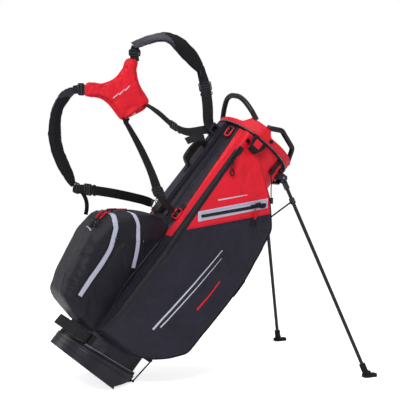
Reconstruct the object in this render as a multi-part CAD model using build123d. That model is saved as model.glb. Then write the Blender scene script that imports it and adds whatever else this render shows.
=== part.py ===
from build123d import *
import os
from math import atan2, cos, degrees, pi, radians, sin, tan

# Golf stand bag, standing on its base plate and two legs.  Millimetres.
# Row frame: Z up, the bag leans towards +X, where the legs are; the harness is on the -X side.
# Bag frame: z along the bag's axis from the base's bottom face, x towards the leg side.

# ---- driving dimensions -------------------------------------------------------------
LEAN = 40.0                # bag axis from the vertical when it stands
TIP_X = 66.0               # bag x of the base's bottom edge that rests on the floor
CENTRE_X = 303.66          # floor distance from that edge to the middle of the whole object
TUBE_R = 118.0             # fabric tube, outside
TUBE_WALL = 3.0
TUBE_Z = (50.0, 845.0)
CUP_R = 128.0              # moulded base cup
CUP_WALL = 5.0
CUP_TOP = 53.0             # height of the cup's sloping rim on the axis
CUP_SLOPE = 0.1
CUT_Z = 9.0                # the cup's front is cut level at this height to clear the foot plate
TIP_FLAT = 0.5             # width of the edge that the base rests on
CUFF_R = 127.0             # moulded top cuff
CUFF_LOW = 840.0
RIM_Z = 862.0              # height of the sloping rim on the axis
RIM_SLOPE = 0.06
LOBE_TOP = 880.0           # raised part of the rim that carries two handle feet
LOBE_ANGLE = -119.0
GAP = 0.4                  # clearance between neighbouring skins
POCKET_WALL = 4.0
BALL_HALF = 98.0           # half width of the ball pocket
FACE_Y = 166.0             # outer face of the side pocket where it is deepest
FACE_TOP = (126.0, 790.0)  # the same face at its top: distance from the middle, height
FACE_LOW_Z = 380.0         # below this height the face is upright
POCKET_IN = 84.0           # inner face of a side pocket past the tube

PIVOT = (121.5, 66.6, 812.0)     # left leg's pivot in the bag frame
LEG_DIR = (0.788, 0.325, -0.521)  # left leg's direction when it is out
LEG_R = 5.5
CLIP_AT = 74.0             # push rod's joint, from the pivot along the leg
CLIP_SIDE = 12.0           # and to the inner side of the leg
ROD_X = 131.0              # plane of the push rods, clear of the tube
ROD_Y = 40.0
ROD_R = 2.5
STRUT_FOOT_Z = 560.0       # lower ball of the struts
YOKE_TOP_Z = 130.0         # pivot of the yoke on the lower crosshead
YOKE_Y = 56.0
PLATE_PIN = (6.0, 4.5)     # hinge pin of the foot plate: floor distance, height
PLATE_HALF = 49.0
TOE_PIN = (76.0, 3.5)      # yoke joint on the plate: floor distance, height
PAD_THICK = 15.0
WEB_WIDTH = 30.0
WEB_THICK = 2.6
CORD_ANGLE = -60.0         # elastic cord beside the right leg: angle round the tube
CORD_TOP_Z = 784.0
CORD_R = 1.6
APPAREL_ZIP_X = -75.0     # line of the long zip on the side pocket's face
LEG_SWEEP = 16.0           # room kept each side of the plane that a leg folds in

nodes = {}
lean = Pos(-CENTRE_X, 0, 0) * Rot(0, LEAN, 0) * Pos(-TIP_X, 0, 0)


# ---- helpers ------------------------------------------------------------------------
def unit(v):
    return Vector(*v).normalized()


def floor_to_bag(x, z):
    """Bag x and z of a point given by floor distance and height."""
    turn = radians(LEAN)
    return x * cos(turn) - z * sin(turn) + TIP_X, x * sin(turn) + z * cos(turn)


def on_floor(point):
    """Row-frame point from floor distance from the tip edge, y and height."""
    x, y, z = point
    return Vector(x - CENTRE_X, y, z)


def bag_point(x, y, z):
    """Row-frame point from bag coordinates."""
    return (lean * Pos(x, y, z)).position


def drum(radius, low, high):
    return Pos(0, 0, low) * Cylinder(radius, high - low, align=(Align.CENTER, Align.CENTER, Align.MIN))


def pipe(outer, inner, low, high):
    return drum(outer, low, high) - drum(inner, low - 1, high + 1)


def above(height, slope):
    """Everything above a plane that rises along x."""
    tilt = Rot(0, -degrees(atan2(slope, 1)), 0)
    return Pos(0, 0, height) * tilt * Box(600, 600, 300, align=(Align.CENTER, Align.CENTER, Align.MIN))


def block(x0, x1, y0, y1, z0, z1):
    return Pos(x0, y0, z0) * Box(x1 - x0, y1 - y0, z1 - z0, align=(Align.MIN, Align.MIN, Align.MIN))


def under(height, start):
    """Everything below a level above the floor, from a floor distance on towards the leg side."""
    return Pos(TIP_X, 0, 0) * (Rot(0, -LEAN, 0) * block(start, 300, -200, 200, -300, height))


def rod(start, end, radius):
    """Straight round bar between two points."""
    a, b = Vector(*start), Vector(*end)
    bar = Cylinder(radius, (b - a).length, align=(Align.CENTER, Align.CENTER, Align.MIN))
    return Plane(origin=a, z_dir=b - a) * bar


def bent_tube(points, radii, radius):
    """Round tube along straight runs joined by arcs."""
    path = FilletPolyline(*points, radius=radii)
    profile = Plane(origin=path @ 0, z_dir=path % 0) * Circle(radius)
    return sweep(profile, path=path)


def ribbon(stations, width, thick):
    """Flat strap through stations (point, broad direction), lofted straight between them."""
    sections = []
    points = [Vector(*p) for p, _ in stations]
    for i, (_, broad) in enumerate(stations):
        ahead = points[min(i + 1, len(points) - 1)] - points[max(i - 1, 0)]
        along = ahead.normalized()
        across = unit(broad)
        across = (across - along * across.dot(along)).normalized()
        size = width[i] if isinstance(width, (list, tuple)) else width
        sections.append(Plane(origin=points[i], x_dir=across, z_dir=along) * Rectangle(size, thick))
    return loft(sections, ruled=True)


def fit_radii(points):
    """Largest arcs that the runs of a cord's route allow."""
    radii = []
    for a, b, c in zip(points, points[1:], points[2:]):
        before, after = Vector(*b) - Vector(*a), Vector(*c) - Vector(*b)
        turn = radians(before.get_angle(after))
        radii.append(0.45 * min(before.length, after.length) / tan(turn / 2))
    return radii


# ---- base ---------------------------------------------------------------------------
def base_parts():
    cup = drum(CUP_R, 0, 90) - above(CUP_TOP, CUP_SLOPE) - under(0, -300) - under(CUT_Z, TIP_FLAT)
    well = drum(CUP_R - CUP_WALL, CUP_WALL, TUBE_Z[0] - 12)
    seat = drum(TUBE_R + GAP, TUBE_Z[0] - GAP, 120)
    throat = drum(TUBE_R - TUBE_WALL, TUBE_Z[0] - 13, 120)
    cup = cup - ((well + seat + throat) - under(CUT_Z + CUP_WALL, TIP_FLAT - CUP_WALL))
    pin_x, pin_z = floor_to_bag(*PLATE_PIN)
    for side in (1, -1):
        y_near, y_far = sorted((side * (PLATE_HALF + 1), side * (PLATE_HALF + 9)))
        ear = Pos(pin_x, 0, pin_z) * rod((0, y_near, 0), (0, y_far, 0), 4.4)
        gusset = Pos(TIP_X, 0, 0) * (Rot(0, -LEAN, 0) * block(1.6, 10.4, y_near, y_far, 4.5, CUT_Z + 5))
        cup = cup + ear + gusset
    hole = rod((pin_x, -PLATE_HALF - 12, pin_z), (pin_x, PLATE_HALF + 12, pin_z), 2.02)
    nodes["base_cup"] = lean * (cup - hole)
    nodes["plate_hinge_pin"] = lean * rod(
        (pin_x, -PLATE_HALF - 9, pin_z), (pin_x, PLATE_HALF + 9, pin_z), 2.0)
    band = pipe(CUP_R - 4, TUBE_R + GAP, 20, 110) - above(CUP_TOP + 9, CUP_SLOPE)
    nodes["base_collar"] = lean * (band & above(CUP_TOP, CUP_SLOPE))

    arc_x, arc_r = -50.0, 110.0
    strap = Pos(arc_x, 0, 0) * pipe(arc_r + 3, arc_r, 52, 84)
    strap = strap & block(-200, -76, -150, 150, 0, 200)
    for side in (1, -1):
        tab = Rot(0, 0, side * 125) * block(TUBE_R + 1, TUBE_R + 13, -7, 7, 52, 84)
        strap = strap + tab
    nodes["base_handle"] = lean * (strap - drum(TUBE_R + GAP, 0, 200) - drum(CUP_R - 3, 0, 60))


# ---- tube, cuff, dividers ----------------------------------------------------------
def rim_lobe():
    """Block with sloping flanks that picks the raised part out of the cuff's wall."""
    side = Polyline((-62, CUFF_LOW), (-34, LOBE_TOP), (34, LOBE_TOP), (62, CUFF_LOW), close=True)
    return Rot(0, 0, LOBE_ANGLE) * extrude(make_face(Plane.YZ * side), amount=200, dir=(1, 0, 0))


def body_parts():
    tube = pipe(TUBE_R, TUBE_R - TUBE_WALL, *TUBE_Z)
    nodes["bag_tube"] = lean * (tube - under(CUT_Z + CUP_WALL + GAP, TIP_FLAT - CUP_WALL))
    cuff = pipe(CUFF_R, TUBE_R + GAP, CUFF_LOW, 930) - above(RIM_Z, RIM_SLOPE)
    cuff = cuff + (pipe(CUFF_R, TUBE_R + GAP, CUFF_LOW + 2, LOBE_TOP) & rim_lobe())
    nodes["top_cuff"] = lean * cuff
    piping = pipe(CUFF_R + 2, TUBE_R + GAP, CUFF_LOW - 6, CUFF_LOW - 0.1)
    nodes["cuff_piping"] = lean * piping

    slab = above(RIM_Z - 34, RIM_SLOPE) - above(RIM_Z - 6, RIM_SLOPE)
    slab = slab & drum(TUBE_R - TUBE_WALL - GAP, 700, 990)
    cross = block(-120, 120, -4, 4, 700, 990) + block(-4, 4, -120, 120, 700, 990)
    ring = pipe(TUBE_R - TUBE_WALL - GAP, TUBE_R - 10, 700, 990)
    nodes["divider_grid"] = lean * (slab & (cross + ring))
    reach = TUBE_R - 6
    sheet = block(-reach, reach, -0.8, 0.8, 110, 815) + block(-0.8, 0.8, -reach, reach, 110, 815)
    nodes["divider_sleeve"] = lean * sheet
    stays = [Rot(0, 0, a) * rod((108, 0, 60), (108, 0, 812), 4) for a in (45, 135, 225, 315)]
    nodes["stay_rods"] = lean * Compound(stays)

    spine = block(-TUBE_R - 9, -100, -27, 27, 486, CUFF_LOW - 8) - drum(TUBE_R + GAP, 400, 900)
    nodes["spine"] = lean * spine
    outside = -TUBE_R - 9.2
    outer = Polyline(
        (outside, 645), (outside - 27, 664), (outside - 29, 733), (outside, 752), close=True)
    inner = Polyline(
        (outside + 1, 662), (outside - 20, 672), (outside - 22, 726), (outside + 1, 737), close=True)
    grip = make_face(Plane.XZ * outer) - make_face(Plane.XZ * inner)
    grip_solid = Pos(0, 12, 0) * extrude(grip, amount=24, dir=(0, -1, 0))
    feet = block(outside - 5, outside, -12, 12, 645, 752) - block(outside - 6, outside + 1, -13, 13, 660, 739)
    nodes["grab_handle"] = lean * (grip_solid + feet)


def lift_handle(centre, half_turn, outward, rise, inset, bend, feet):
    """Handle that stands on the rim: ends half_turn each side of the centre angle, at two heights."""
    end_r, tube_r = TUBE_R + 4.5, 8.0
    mid = radians(centre)
    out, side = Vector(cos(mid), sin(mid), 0), Vector(-sin(mid), cos(mid), 0)
    chord = end_r * sin(radians(half_turn))
    base_r = end_r * cos(radians(half_turn))
    points = []
    for across, radial, height in ((-chord, base_r, feet[0]), (-inset, base_r + outward, RIM_Z + rise),
                                   (inset, base_r + outward, RIM_Z + rise), (chord, base_r, feet[1])):
        p = out * radial + side * across
        points.append((p.X, p.Y, height))
    tube = bent_tube(points, [bend, bend], tube_r)
    for p in (points[0], points[3]):
        tube = tube + Pos(*p) * Cylinder(tube_r + 0.5, 12)
    below = drum(CUFF_R + 20, CUFF_LOW, 990) - above(RIM_Z + 0.2, RIM_SLOPE)
    return lean * (tube - below - Pos(0, 0, 0.2) * rim_lobe())


def handle_parts():
    nodes["lift_handle_rear"] = lift_handle(187.0, 43.0, 62.0, 54.0, 30.0, 36.0, (856.0, LOBE_TOP + 1.5))
    nodes["lift_handle_front"] = lift_handle(-60.0, 47.0, 12.0, 46.0, 48.0, 26.0, (LOBE_TOP + 1.5, 870.5))


# ---- pockets ------------------------------------------------------------------------
def pocket(stations, inset):
    """Loft through level rounded rectangles: (z, x_low, x_high, y_low, y_high)."""
    sections = []
    for i, (z, x0, x1, y0, y1) in enumerate(stations):
        shift = inset if i == 0 else -inset if i == len(stations) - 1 else 0
        wide, deep = x1 - x0 - 2 * inset, y1 - y0 - 2 * inset
        corner = min(26.0, 0.42 * min(wide, deep))
        outline = RectangleRounded(wide, deep, corner)
        sections.append(Pos((x0 + x1) / 2, (y0 + y1) / 2, z + shift) * outline)
    return loft(sections, ruled=True)


def leg_room(margin):
    """Right side of the plane that the right leg folds in, grown towards the pocket."""
    run = degrees(atan2(LEG_DIR[1], LEG_DIR[0]))
    return Pos(PIVOT[0], -PIVOT[1], 0) * (Rot(0, 0, -run) * block(-400, 400, -margin, 400, -100, 1200))


def hollow_pocket(stations, swept=False):
    shell = pocket(stations, 0) - drum(TUBE_R + GAP, 0, 1000)
    inside = pocket(stations, POCKET_WALL) - drum(TUBE_R + GAP + POCKET_WALL, 0, 1000)
    if swept:
        shell = shell - leg_room(LEG_SWEEP)
        inside = inside - leg_room(LEG_SWEEP + POCKET_WALL)
    return shell - inside


def face_y(z):
    """Distance of the side pocket's outer face from the middle at a height."""
    top_y, top_z = FACE_TOP
    return FACE_Y - max(0.0, z - FACE_LOW_Z) * (FACE_Y - top_y) / (top_z - FACE_LOW_Z)


def pocket_parts():
    outline = ((92, -162), (120, -219), (171, -241), (242, -256),
               (306, -269), (372, -262), (398, -238), (474, -142))
    ball = [(z, x, -72, -BALL_HALF, BALL_HALF) for z, x in outline]
    nodes["ball_pocket"] = lean * (hollow_pocket(ball) - drum(CUP_R + 1, 0, 95))
    edge = ((100, 20, 132), (124, 88, 152), (164, 134, 163), (204, 168, FACE_Y), (FACE_LOW_Z, 178, FACE_Y),
            (479, 184, None), (583, 175, None), (650, 166, None), (717, 106, None), (764, 40, None),
            (830, -58, None))
    side = [(z, -83, x, -(y or face_y(z)), -POCKET_IN) for z, x, y in edge]
    right = hollow_pocket(side, swept=True)
    nodes["side_pocket_right"] = lean * right
    nodes["side_pocket_left"] = lean * mirror(right, about=Plane.XZ)
    nodes["pocket_tab"] = lean * block(184.4, 188, -138, -112, 417, 480)


def face_plane(x, z, along):
    """Plane on the right pocket's face at bag x, z; its x axis runs along the given (dx, dz)."""
    slope = (FACE_Y - FACE_TOP[0]) / (FACE_TOP[1] - FACE_LOW_Z)
    origin = Vector(x, -face_y(z), z)
    run = Vector(along[0], along[1] * slope, along[1]).normalized()
    normal = Vector(0, -1, slope).normalized()
    return Plane(origin=origin, x_dir=run, z_dir=normal)


def zip_slider():
    """Slider body with its pull, lying on the XY plane, zip along X."""
    body = block(-8, 8, -5, 5, 0, 5)
    bridge = block(-5, 5, -1.5, 1.5, 5, 7.5)
    pull = block(3, 30, -3.5, 3.5, 7.5, 9.5)
    return body + bridge + pull


def zip_parts():
    run = (150.0, 170.0)
    frame_at = face_plane(16, 613, run)
    frame = Box(226, 29, 1.6, align=(Align.CENTER, Align.CENTER, Align.MIN))
    nodes["zip_frame"] = lean * (frame_at.offset(GAP) * frame)
    nodes["slider_valuables"] = lean * (frame_at.offset(2.6) * Pos(86, 0, 0) * Rot(0, 0, 180) * zip_slider())
    tall = face_plane(APPAREL_ZIP_X, 738, (0.0, -1.0))
    slider = tall.offset(0.9) * zip_slider()
    nodes["slider_apparel_right"] = lean * slider
    nodes["slider_apparel_left"] = lean * mirror(slider, about=Plane.XZ)
    for name, top, bottom in (("front", (-208, 340), (-174, 160)), ("rear", (-139, 372), (-106, 318))):
        direction = Vector(bottom[0] - top[0], 0, bottom[1] - top[1])
        at = Plane(origin=(top[0], -BALL_HALF - 0.9, top[1]), x_dir=direction, z_dir=(0, -1, 0))
        nodes["slider_ball_" + name] = lean * (at * zip_slider())


# ---- stand --------------------------------------------------------------------------
def leg_frame(side):
    """Plane at a leg's pivot: z down the leg, x along the pin towards the middle of the bag."""
    down = unit((LEG_DIR[0], side * LEG_DIR[1], LEG_DIR[2]))
    pin = unit(Vector(down.Y * -1, down.X, 0)) * -side
    return Plane(origin=(PIVOT[0], side * PIVOT[1], PIVOT[2]), x_dir=pin, z_dir=down)


def leg_parts(side, name):
    at = leg_frame(side)
    pivot, down = bag_point(*at.origin), (lean * Pos(*at.z_dir)).position - (lean * Pos(0, 0, 0)).position
    length = -pivot.Z / down.Z
    head = block(-7, 7, -7, 7, -7, 34) + rod((-7, 0, 0), (7, 0, 0), 9)
    head = head - rod((-9, 0, 0), (9, 0, 0), 4.04)
    nodes["leg_head_" + name] = lean * (at * head)
    ankle = length - 26
    tube = pipe(LEG_R, LEG_R - 1, 34, ankle)
    nodes["leg_tube_" + name] = lean * (at * tube)
    clip = pipe(LEG_R + 3, LEG_R + 0.02, CLIP_AT - 9, CLIP_AT + 9)
    nodes["leg_clip_" + name] = lean * (at * clip)
    foot = pivot + down * length
    boot = lean * (at * drum(9.5, ankle - 16, length - 6))
    sole_top = Pos(foot.X + 7, foot.Y, 0)
    sole = Box(46, 25, 9, align=(Align.CENTER, Align.CENTER, Align.MIN))
    sole = fillet(sole.edges().filter_by(Axis.Z), 9)
    instep = Pos(-8, 0, 6) * Cylinder(10.5, 12, align=(Align.CENTER, Align.CENTER, Align.MIN))
    boot = boot + sole_top * (sole + instep)
    boot = boot & (Pos(foot.X, foot.Y, 0) * Box(300, 300, 200, align=(Align.CENTER, Align.CENTER, Align.MIN)))
    nodes["leg_foot_" + name] = boot - lean * (at * drum(LEG_R + 0.02, 0, ankle + 0.02))


def stand_parts():
    bridge = block(TUBE_R + 1, TUBE_R + 8, -58, 58, 792, 816) - drum(TUBE_R + GAP, 700, 900)
    pins = []
    for side in (1, -1):
        at = leg_frame(side)
        upright = Plane(origin=at.origin, x_dir=at.x_dir, z_dir=(0, 0, -1))
        out = upright.y_dir if upright.y_dir.X > 0 else upright.y_dir * -1
        socket = Plane(origin=at.origin, x_dir=at.x_dir, z_dir=out)
        back = block(-14, 14, -19, 19, -26, -14)
        lug = back
        for x0, x1 in ((8, 14), (-14, -8)):
            lug = lug + block(x0, x1, -11, 11, -15, 6) + rod((x0, 0, 0), (x1, 0, 0), 11)
        lug = lug - rod((-16, 0, 0), (16, 0, 0), 4.0)
        bridge = bridge + (socket * lug - drum(TUBE_R + GAP, 700, 900))
        pins.append(at * rod((-16, 0, 0), (16, 0, 0), 4.0))
    bridge = bridge - drum(CUFF_R + 2 + GAP, CUFF_LOW - 6 - GAP, 900) - pins[0] - pins[1]
    nodes["leg_bracket"] = lean * bridge
    nodes["leg_pins"] = lean * Compound(pins)

    rods = []
    for y in (ROD_Y, -ROD_Y):
        rods.append(rod((ROD_X, y, YOKE_TOP_Z + 6), (ROD_X, y, STRUT_FOOT_Z - 14), ROD_R))
    nodes["push_rods"] = lean * Compound(rods)
    low = block(ROD_X - 5, ROD_X + 5, -ROD_Y - 7, ROD_Y + 7, YOKE_TOP_Z - 6, YOKE_TOP_Z + 6)
    pivot = rod((ROD_X, -YOKE_Y - 3, YOKE_TOP_Z), (ROD_X, YOKE_Y + 3, YOKE_TOP_Z), 2.0)
    high = block(ROD_X - 5, ROD_X + 5, -ROD_Y - 8, ROD_Y + 8, STRUT_FOOT_Z - 14, STRUT_FOOT_Z - 5.2)
    for side in (1, -1):
        for x0 in (ROD_X - 9, ROD_X + 5.2):
            y0, y1 = sorted((side * (ROD_Y - 6), side * (ROD_Y + 6)))
            high = high + block(x0, x0 + 3.8, y0, y1, STRUT_FOOT_Z - 14, STRUT_FOOT_Z + 3)
            inner, outer = min(x0, ROD_X - 5), max(x0 + 3.8, ROD_X + 5)
            high = high + block(inner, outer, y0, y1, STRUT_FOOT_Z - 14, STRUT_FOOT_Z - 8)
    nodes["crossheads"] = lean * Compound([low + pivot, high])

    guides = []
    for z in (236.0, 440.0):
        guide = block(TUBE_R + GAP, ROD_X + 7, -ROD_Y - 8, ROD_Y + 8, z, z + 12)
        for side in (1, -1):
            guide = guide - rod((ROD_X, side * ROD_Y, z - 1), (ROD_X, side * ROD_Y, z + 13), ROD_R + 0.08)
        guides.append(guide)
    nodes["rod_guides"] = lean * Compound(guides)

    for side, name in ((1, "left"), (-1, "right")):
        at = leg_frame(side)
        top = at.origin + at.z_dir * CLIP_AT + at.x_dir * CLIP_SIDE
        foot = Vector(ROD_X, side * ROD_Y, STRUT_FOOT_Z)
        eye = Plane(origin=top, x_dir=at.x_dir, z_dir=at.z_dir)
        bar = rod(foot, top, ROD_R) + Pos(*foot) * Sphere(4.6)
        bar = bar + eye * rod((-2.8, 0, 0), (2.8, 0, 0), 5.5)
        nodes["strut_" + name] = lean * bar

    toe_x, toe_z = floor_to_bag(*TOE_PIN)
    yoke = []
    for side in (1, -1):
        y = side * YOKE_Y
        arm = rod((ROD_X, y, YOKE_TOP_Z), (toe_x, y, toe_z), 2.2)
        for x, z in ((ROD_X, YOKE_TOP_Z), (toe_x, toe_z)):
            arm = arm + rod((x, y - 2.4, z), (x, y + 2.4, z), 3.4)
        arm = arm - rod((ROD_X, -80, YOKE_TOP_Z), (ROD_X, 80, YOKE_TOP_Z), 2.06)
        yoke.append(arm)
    nodes["plate_yoke"] = lean * Compound(yoke)

    plate = Pos(-CENTRE_X, 0, 0) * block(11, 79, -PLATE_HALF, PLATE_HALF, 0, 6)
    plate = fillet(plate.edges().filter_by(Axis.Z).sort_by(Axis.X)[-2:], 14)
    hinge = Pos(PLATE_PIN[0] - CENTRE_X, 0, PLATE_PIN[1])
    knuckle = hinge * rod((0, -PLATE_HALF, 0), (0, PLATE_HALF, 0), 4.3)
    web = Pos(-CENTRE_X, 0, 0) * block(PLATE_PIN[0], 14, -PLATE_HALF, PLATE_HALF, 1, 6)
    plate = plate + knuckle + web
    stub_y = YOKE_Y - 3
    plate = plate + Pos(TOE_PIN[0] - CENTRE_X, 0, TOE_PIN[1]) * rod((0, -stub_y, 0), (0, stub_y, 0), 2.2)
    bore = hinge * rod((0, -70, 0), (0, 70, 0), 2.05)
    nodes["foot_plate"] = plate - bore


# ---- small fittings -----------------------------------------------------------------
def ring_at(angle, z, radius=13.5):
    out = Vector(cos(radians(angle)), sin(radians(angle)), 0)
    return Plane(origin=out * (TUBE_R + 7.5) + Vector(0, 0, z), z_dir=out) * Torus(radius, 2.4)


def fitting_parts():
    nodes["strap_rings"] = lean * Compound([ring_at(222, 508), ring_at(138, 508), ring_at(208, 808)])
    anchor = block(-TUBE_R - 32, -TUBE_R - 9.2, -20, 20, 778, 810)
    anchor = anchor - block(-TUBE_R - 27, -TUBE_R - 14, -21, 21, 785, 803)
    nodes["harness_anchor"] = lean * anchor
    flap = make_face(Plane.YZ * RectangleRounded(14, 40, 6)) - make_face(Plane.YZ * RectangleRounded(9, 35, 4))
    nodes["towel_loop"] = lean * (Pos(-62, -CUFF_R - 6, 812.5) * extrude(flap, amount=38))
    studs = [Plane(origin=Vector(-70, -face_y(804) - 1.2, 804), z_dir=(0, -1, 0)) * drum(6, 0, 4)]
    for angle, radius, z in ((-94.0, CUFF_R, 851.0), (94.0, CUFF_R, 851.0), (-40.0, TUBE_R, 822.0)):
        out = Vector(cos(radians(angle)), sin(radians(angle)), 0)
        at = out * (radius + 0.1) + Vector(0, 0, z)
        studs.append(Plane(origin=at, z_dir=out) * drum(5.5, 0, 5))
    nodes["snap_studs"] = lean * Compound(studs)
    out = Vector(cos(radians(CORD_ANGLE)), sin(radians(CORD_ANGLE)), 0)
    hook = out * (TUBE_R + GAP + 3) + Vector(0, 0, CORD_TOP_Z)
    tab_at = Plane(origin=hook, x_dir=Vector(0, 0, 1), z_dir=out)
    nodes["cord_tab"] = lean * (tab_at * block(0, 28, -9, 9, -3, 3))
    start = bag_point(*(hook + out * 1.5))
    route = [(start.X, start.Y, start.Z - 1.8), (start.X + 4.0, start.Y + 1.0, start.Z - 22),
             (start.X + 3.0, start.Y + 4.0, start.Z - 46), (start.X + 4.5, start.Y + 5.0, start.Z - 72)]
    radii = fit_radii(route)
    cord = bent_tube(route, radii, CORD_R)
    length = cord.volume / (pi * CORD_R ** 2)
    print("elastic cord: start", start, "radii", [round(r) for r in radii], "length", round(length, 1))
    nodes["elastic_cord"] = cord
    end = Vector(*route[-1])
    nodes["cord_lock"] = Pos(end.X, end.Y, end.Z - 9.25) * Cylinder(6, 18)


# ---- harness ------------------------------------------------------------------------
PAD_OUTLINE = ((100, 946), (124, 938), (119, 900), (129, 864), (151, 818), (134, 794), (86, 764),
               (68, 766), (24, 806), (-2, 824), (-48, 832), (-42, 864), (6, 870), (46, 894), (72, 930))
UPPER_PAD = (((100, -4, 978), (-0.1, 0.92, 0.25)), ((146, -8, 1000), (-0.1, 0.92, 0.25)),
             ((198, -6, 1014), (0, 0.95, 0.33)), ((250, 4, 992), (0.8, 0.6, 0.6)),
             ((292, 10, 954), (0.75, 0.8, 0.6)), ((324, 12, 914), (0.4, 0.9, 0.2)))
LOWER_PAD = (((-72, 2, 850), (0.45, 0.85, -0.2)), ((-104, 6, 826), (0.55, 0.75, -0.25)),
             ((-127, 10, 778), (0.7, 0.72, 0)), ((-132, 14, 716), (0.84, 0.54, 0)),
             ((-116, 20, 658), (0.85, 0.5, 0)), ((-88, 26, 604), (0.8, 0.6, 0.1)),
             ((-70, 30, 572), (0.6, 0.8, 0)))
WEB_UPPER = (((325.5, 12, 908), (0.4, 0.9, 0)), ((338, 10, 868), (0.9, 0.5, 0)), ((345, 6, 812), (1, 0.3, 0)),
             ((344, 4, 770), (1, 0.2, 0)))
WEB_LOWER = (((-60, 33, 563), (0.2, 0.5, 1)), ((-26, 42, 560), (0.2, 0.3, 1)), ((60, 62, 546), (0.1, 0.1, 1)),
             ((150, 84, 526), (0.1, 0.1, 1)), ((182, 91, 516), (0.1, 0.1, 1)))
WEB_CROSS_UPPER = (((146, -4, 806), (0.5, 0.8, 0.3)), ((178, -10, 784), (0.4, 0.8, 0.6)),
                   ((222, -14, 748), (0.2, 0.8, 0.8)), ((268, -10, 730), (0, 0.7, 1)),
                   ((322, -4, 736), (0, 0.7, 1)))
WEB_CROSS_LOWER = (((77, -3, 757), (0.9, 0.7, 0)), ((84, -16, 738), (0.9, 0.7, 0.2)),
                   ((110, -36, 680), (0.9, 0.5, 0.3)), ((134, -60, 612), (0.9, 0.4, 0.3)),
                   ((146, -84, 556), (0.9, 0.4, 0.3)), ((158, -97, 528), (0.8, 0.6, 0.2)))
TAIL_LOWER = (((-60, 36, 536), (1, 0.8, 0)), ((-48, 34, 512), (1, 0.8, 0)), ((-50, 33, 486), (1, 0.8, 0)))
TAIL_UPPER = (((314, -34, 712), (0, 0.6, 1)), ((286, -36, 712), (0, 0.6, 1)), ((254, -36, 702), (0, 0.6, 1)))


def raised(stations):
    """Stations given by floor distance, as row-frame points."""
    return [(tuple(on_floor(p)), broad) for p, broad in stations]


def harness_parts():
    outline = make_face(Plane.XZ * Polyline(*PAD_OUTLINE, close=True))
    pad = extrude(outline, amount=14, dir=(0, -1, 0))
    nodes["back_pad"] = Pos(-CENTRE_X, 7, 0) * pad
    ends = (34, 52, 60, 60, 54, 32)
    nodes["shoulder_pad_upper"] = ribbon(raised(UPPER_PAD), ends, PAD_THICK)
    nodes["shoulder_pad_lower"] = ribbon(raised(LOWER_PAD), (34, 52, 60, 60, 60, 50, 32), PAD_THICK)
    nodes["web_upper"] = ribbon(raised(WEB_UPPER), WEB_WIDTH, WEB_THICK)
    nodes["web_lower"] = ribbon(raised(WEB_LOWER), WEB_WIDTH, WEB_THICK)
    nodes["web_cross_upper"] = ribbon(raised(WEB_CROSS_UPPER), WEB_WIDTH, WEB_THICK)
    nodes["web_cross_lower"] = ribbon(raised(WEB_CROSS_LOWER), WEB_WIDTH, WEB_THICK)
    tails = [ribbon(raised(TAIL_LOWER), 20, WEB_THICK), ribbon(raised(TAIL_UPPER), 24, WEB_THICK)]
    nodes["strap_tails"] = Compound(tails)
    glides = []
    for point, broad in (WEB_UPPER[1], WEB_LOWER[1], WEB_CROSS_LOWER[3], WEB_CROSS_UPPER[2]):
        normal = Vector(0.3, -1, 0.1)
        at = on_floor(point) + normal.normalized() * 8
        glides.append(Plane(origin=at, x_dir=unit(broad), z_dir=normal) * (Box(34, 24, 4) - Box(25, 5, 6)))
    nodes["tri_glides"] = Compound(glides)
    buckles = [ribbon(raised((((92, -3, 950), (1, 0.6, 0)), ((98, -4, 968), (1, 0.6, 0)))), 26, 7),
               ribbon(raised((((-51, 0, 847), (0.2, 0.4, 1)), ((-63, 0, 851), (0.2, 0.4, 1)))), 26, 7)]
    nodes["pad_buckles"] = Compound(buckles)


def main():
    base_parts()
    body_parts()
    handle_parts()
    pocket_parts()
    zip_parts()
    stand_parts()
    leg_parts(1, "left")
    leg_parts(-1, "right")
    fitting_parts()
    harness_parts()
    os.makedirs("parts", exist_ok=True)
    for name, shape in nodes.items():
        export_step(shape, "parts/" + name + ".step")
    box = Compound([s for n, s in nodes.items() if n not in ("elastic_cord", "cord_lock")]).bounding_box()
    print(len(nodes), "nodes; box", box.min, box.max)


if __name__ == "__main__":
    main()
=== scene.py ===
import bpy
import bmesh
import math
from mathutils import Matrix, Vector, noise
from mathutils.bvhtree import BVHTree


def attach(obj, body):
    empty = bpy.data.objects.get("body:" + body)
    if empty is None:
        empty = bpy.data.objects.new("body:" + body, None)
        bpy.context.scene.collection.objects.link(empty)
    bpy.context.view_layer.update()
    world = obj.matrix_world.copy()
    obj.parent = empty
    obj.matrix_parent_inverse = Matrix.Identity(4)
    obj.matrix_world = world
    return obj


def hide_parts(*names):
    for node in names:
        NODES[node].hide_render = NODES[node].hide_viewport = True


# Golf stand bag. The row frame is in metres. "Bag" coordinates are millimetres, z along the
# bag's axis and x towards the legs; "floor" coordinates are millimetres from the resting edge.
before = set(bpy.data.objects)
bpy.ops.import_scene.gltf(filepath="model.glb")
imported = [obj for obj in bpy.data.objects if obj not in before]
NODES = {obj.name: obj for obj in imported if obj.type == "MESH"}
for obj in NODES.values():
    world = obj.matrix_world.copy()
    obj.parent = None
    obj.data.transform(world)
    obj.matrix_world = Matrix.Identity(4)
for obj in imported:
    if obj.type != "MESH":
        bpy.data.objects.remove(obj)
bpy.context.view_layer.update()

LEAN = math.radians(40)
SIN, COS = math.sin(LEAN), math.cos(LEAN)
TIP_X = 66.0
CENTRE_X = 303.66
TUBE_R = 118.0
BALL_HALF = 98.0
CUFF_LOW, RIM_Z, RIM_SLOPE = 840.0, 862.0, 0.06
LOBE_TOP, LOBE_ANGLE = 880.0, -119.0


def bag(x, y, z):
    """A point from bag coordinates."""
    dx = x - TIP_X
    return Vector((dx * COS + z * SIN - CENTRE_X, y, z * COS - dx * SIN)) / 1000


def turn(x, y, z):
    """A direction in bag coordinates, in the row frame."""
    return Vector((x * COS + z * SIN, y, z * COS - x * SIN)).normalized()


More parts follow.
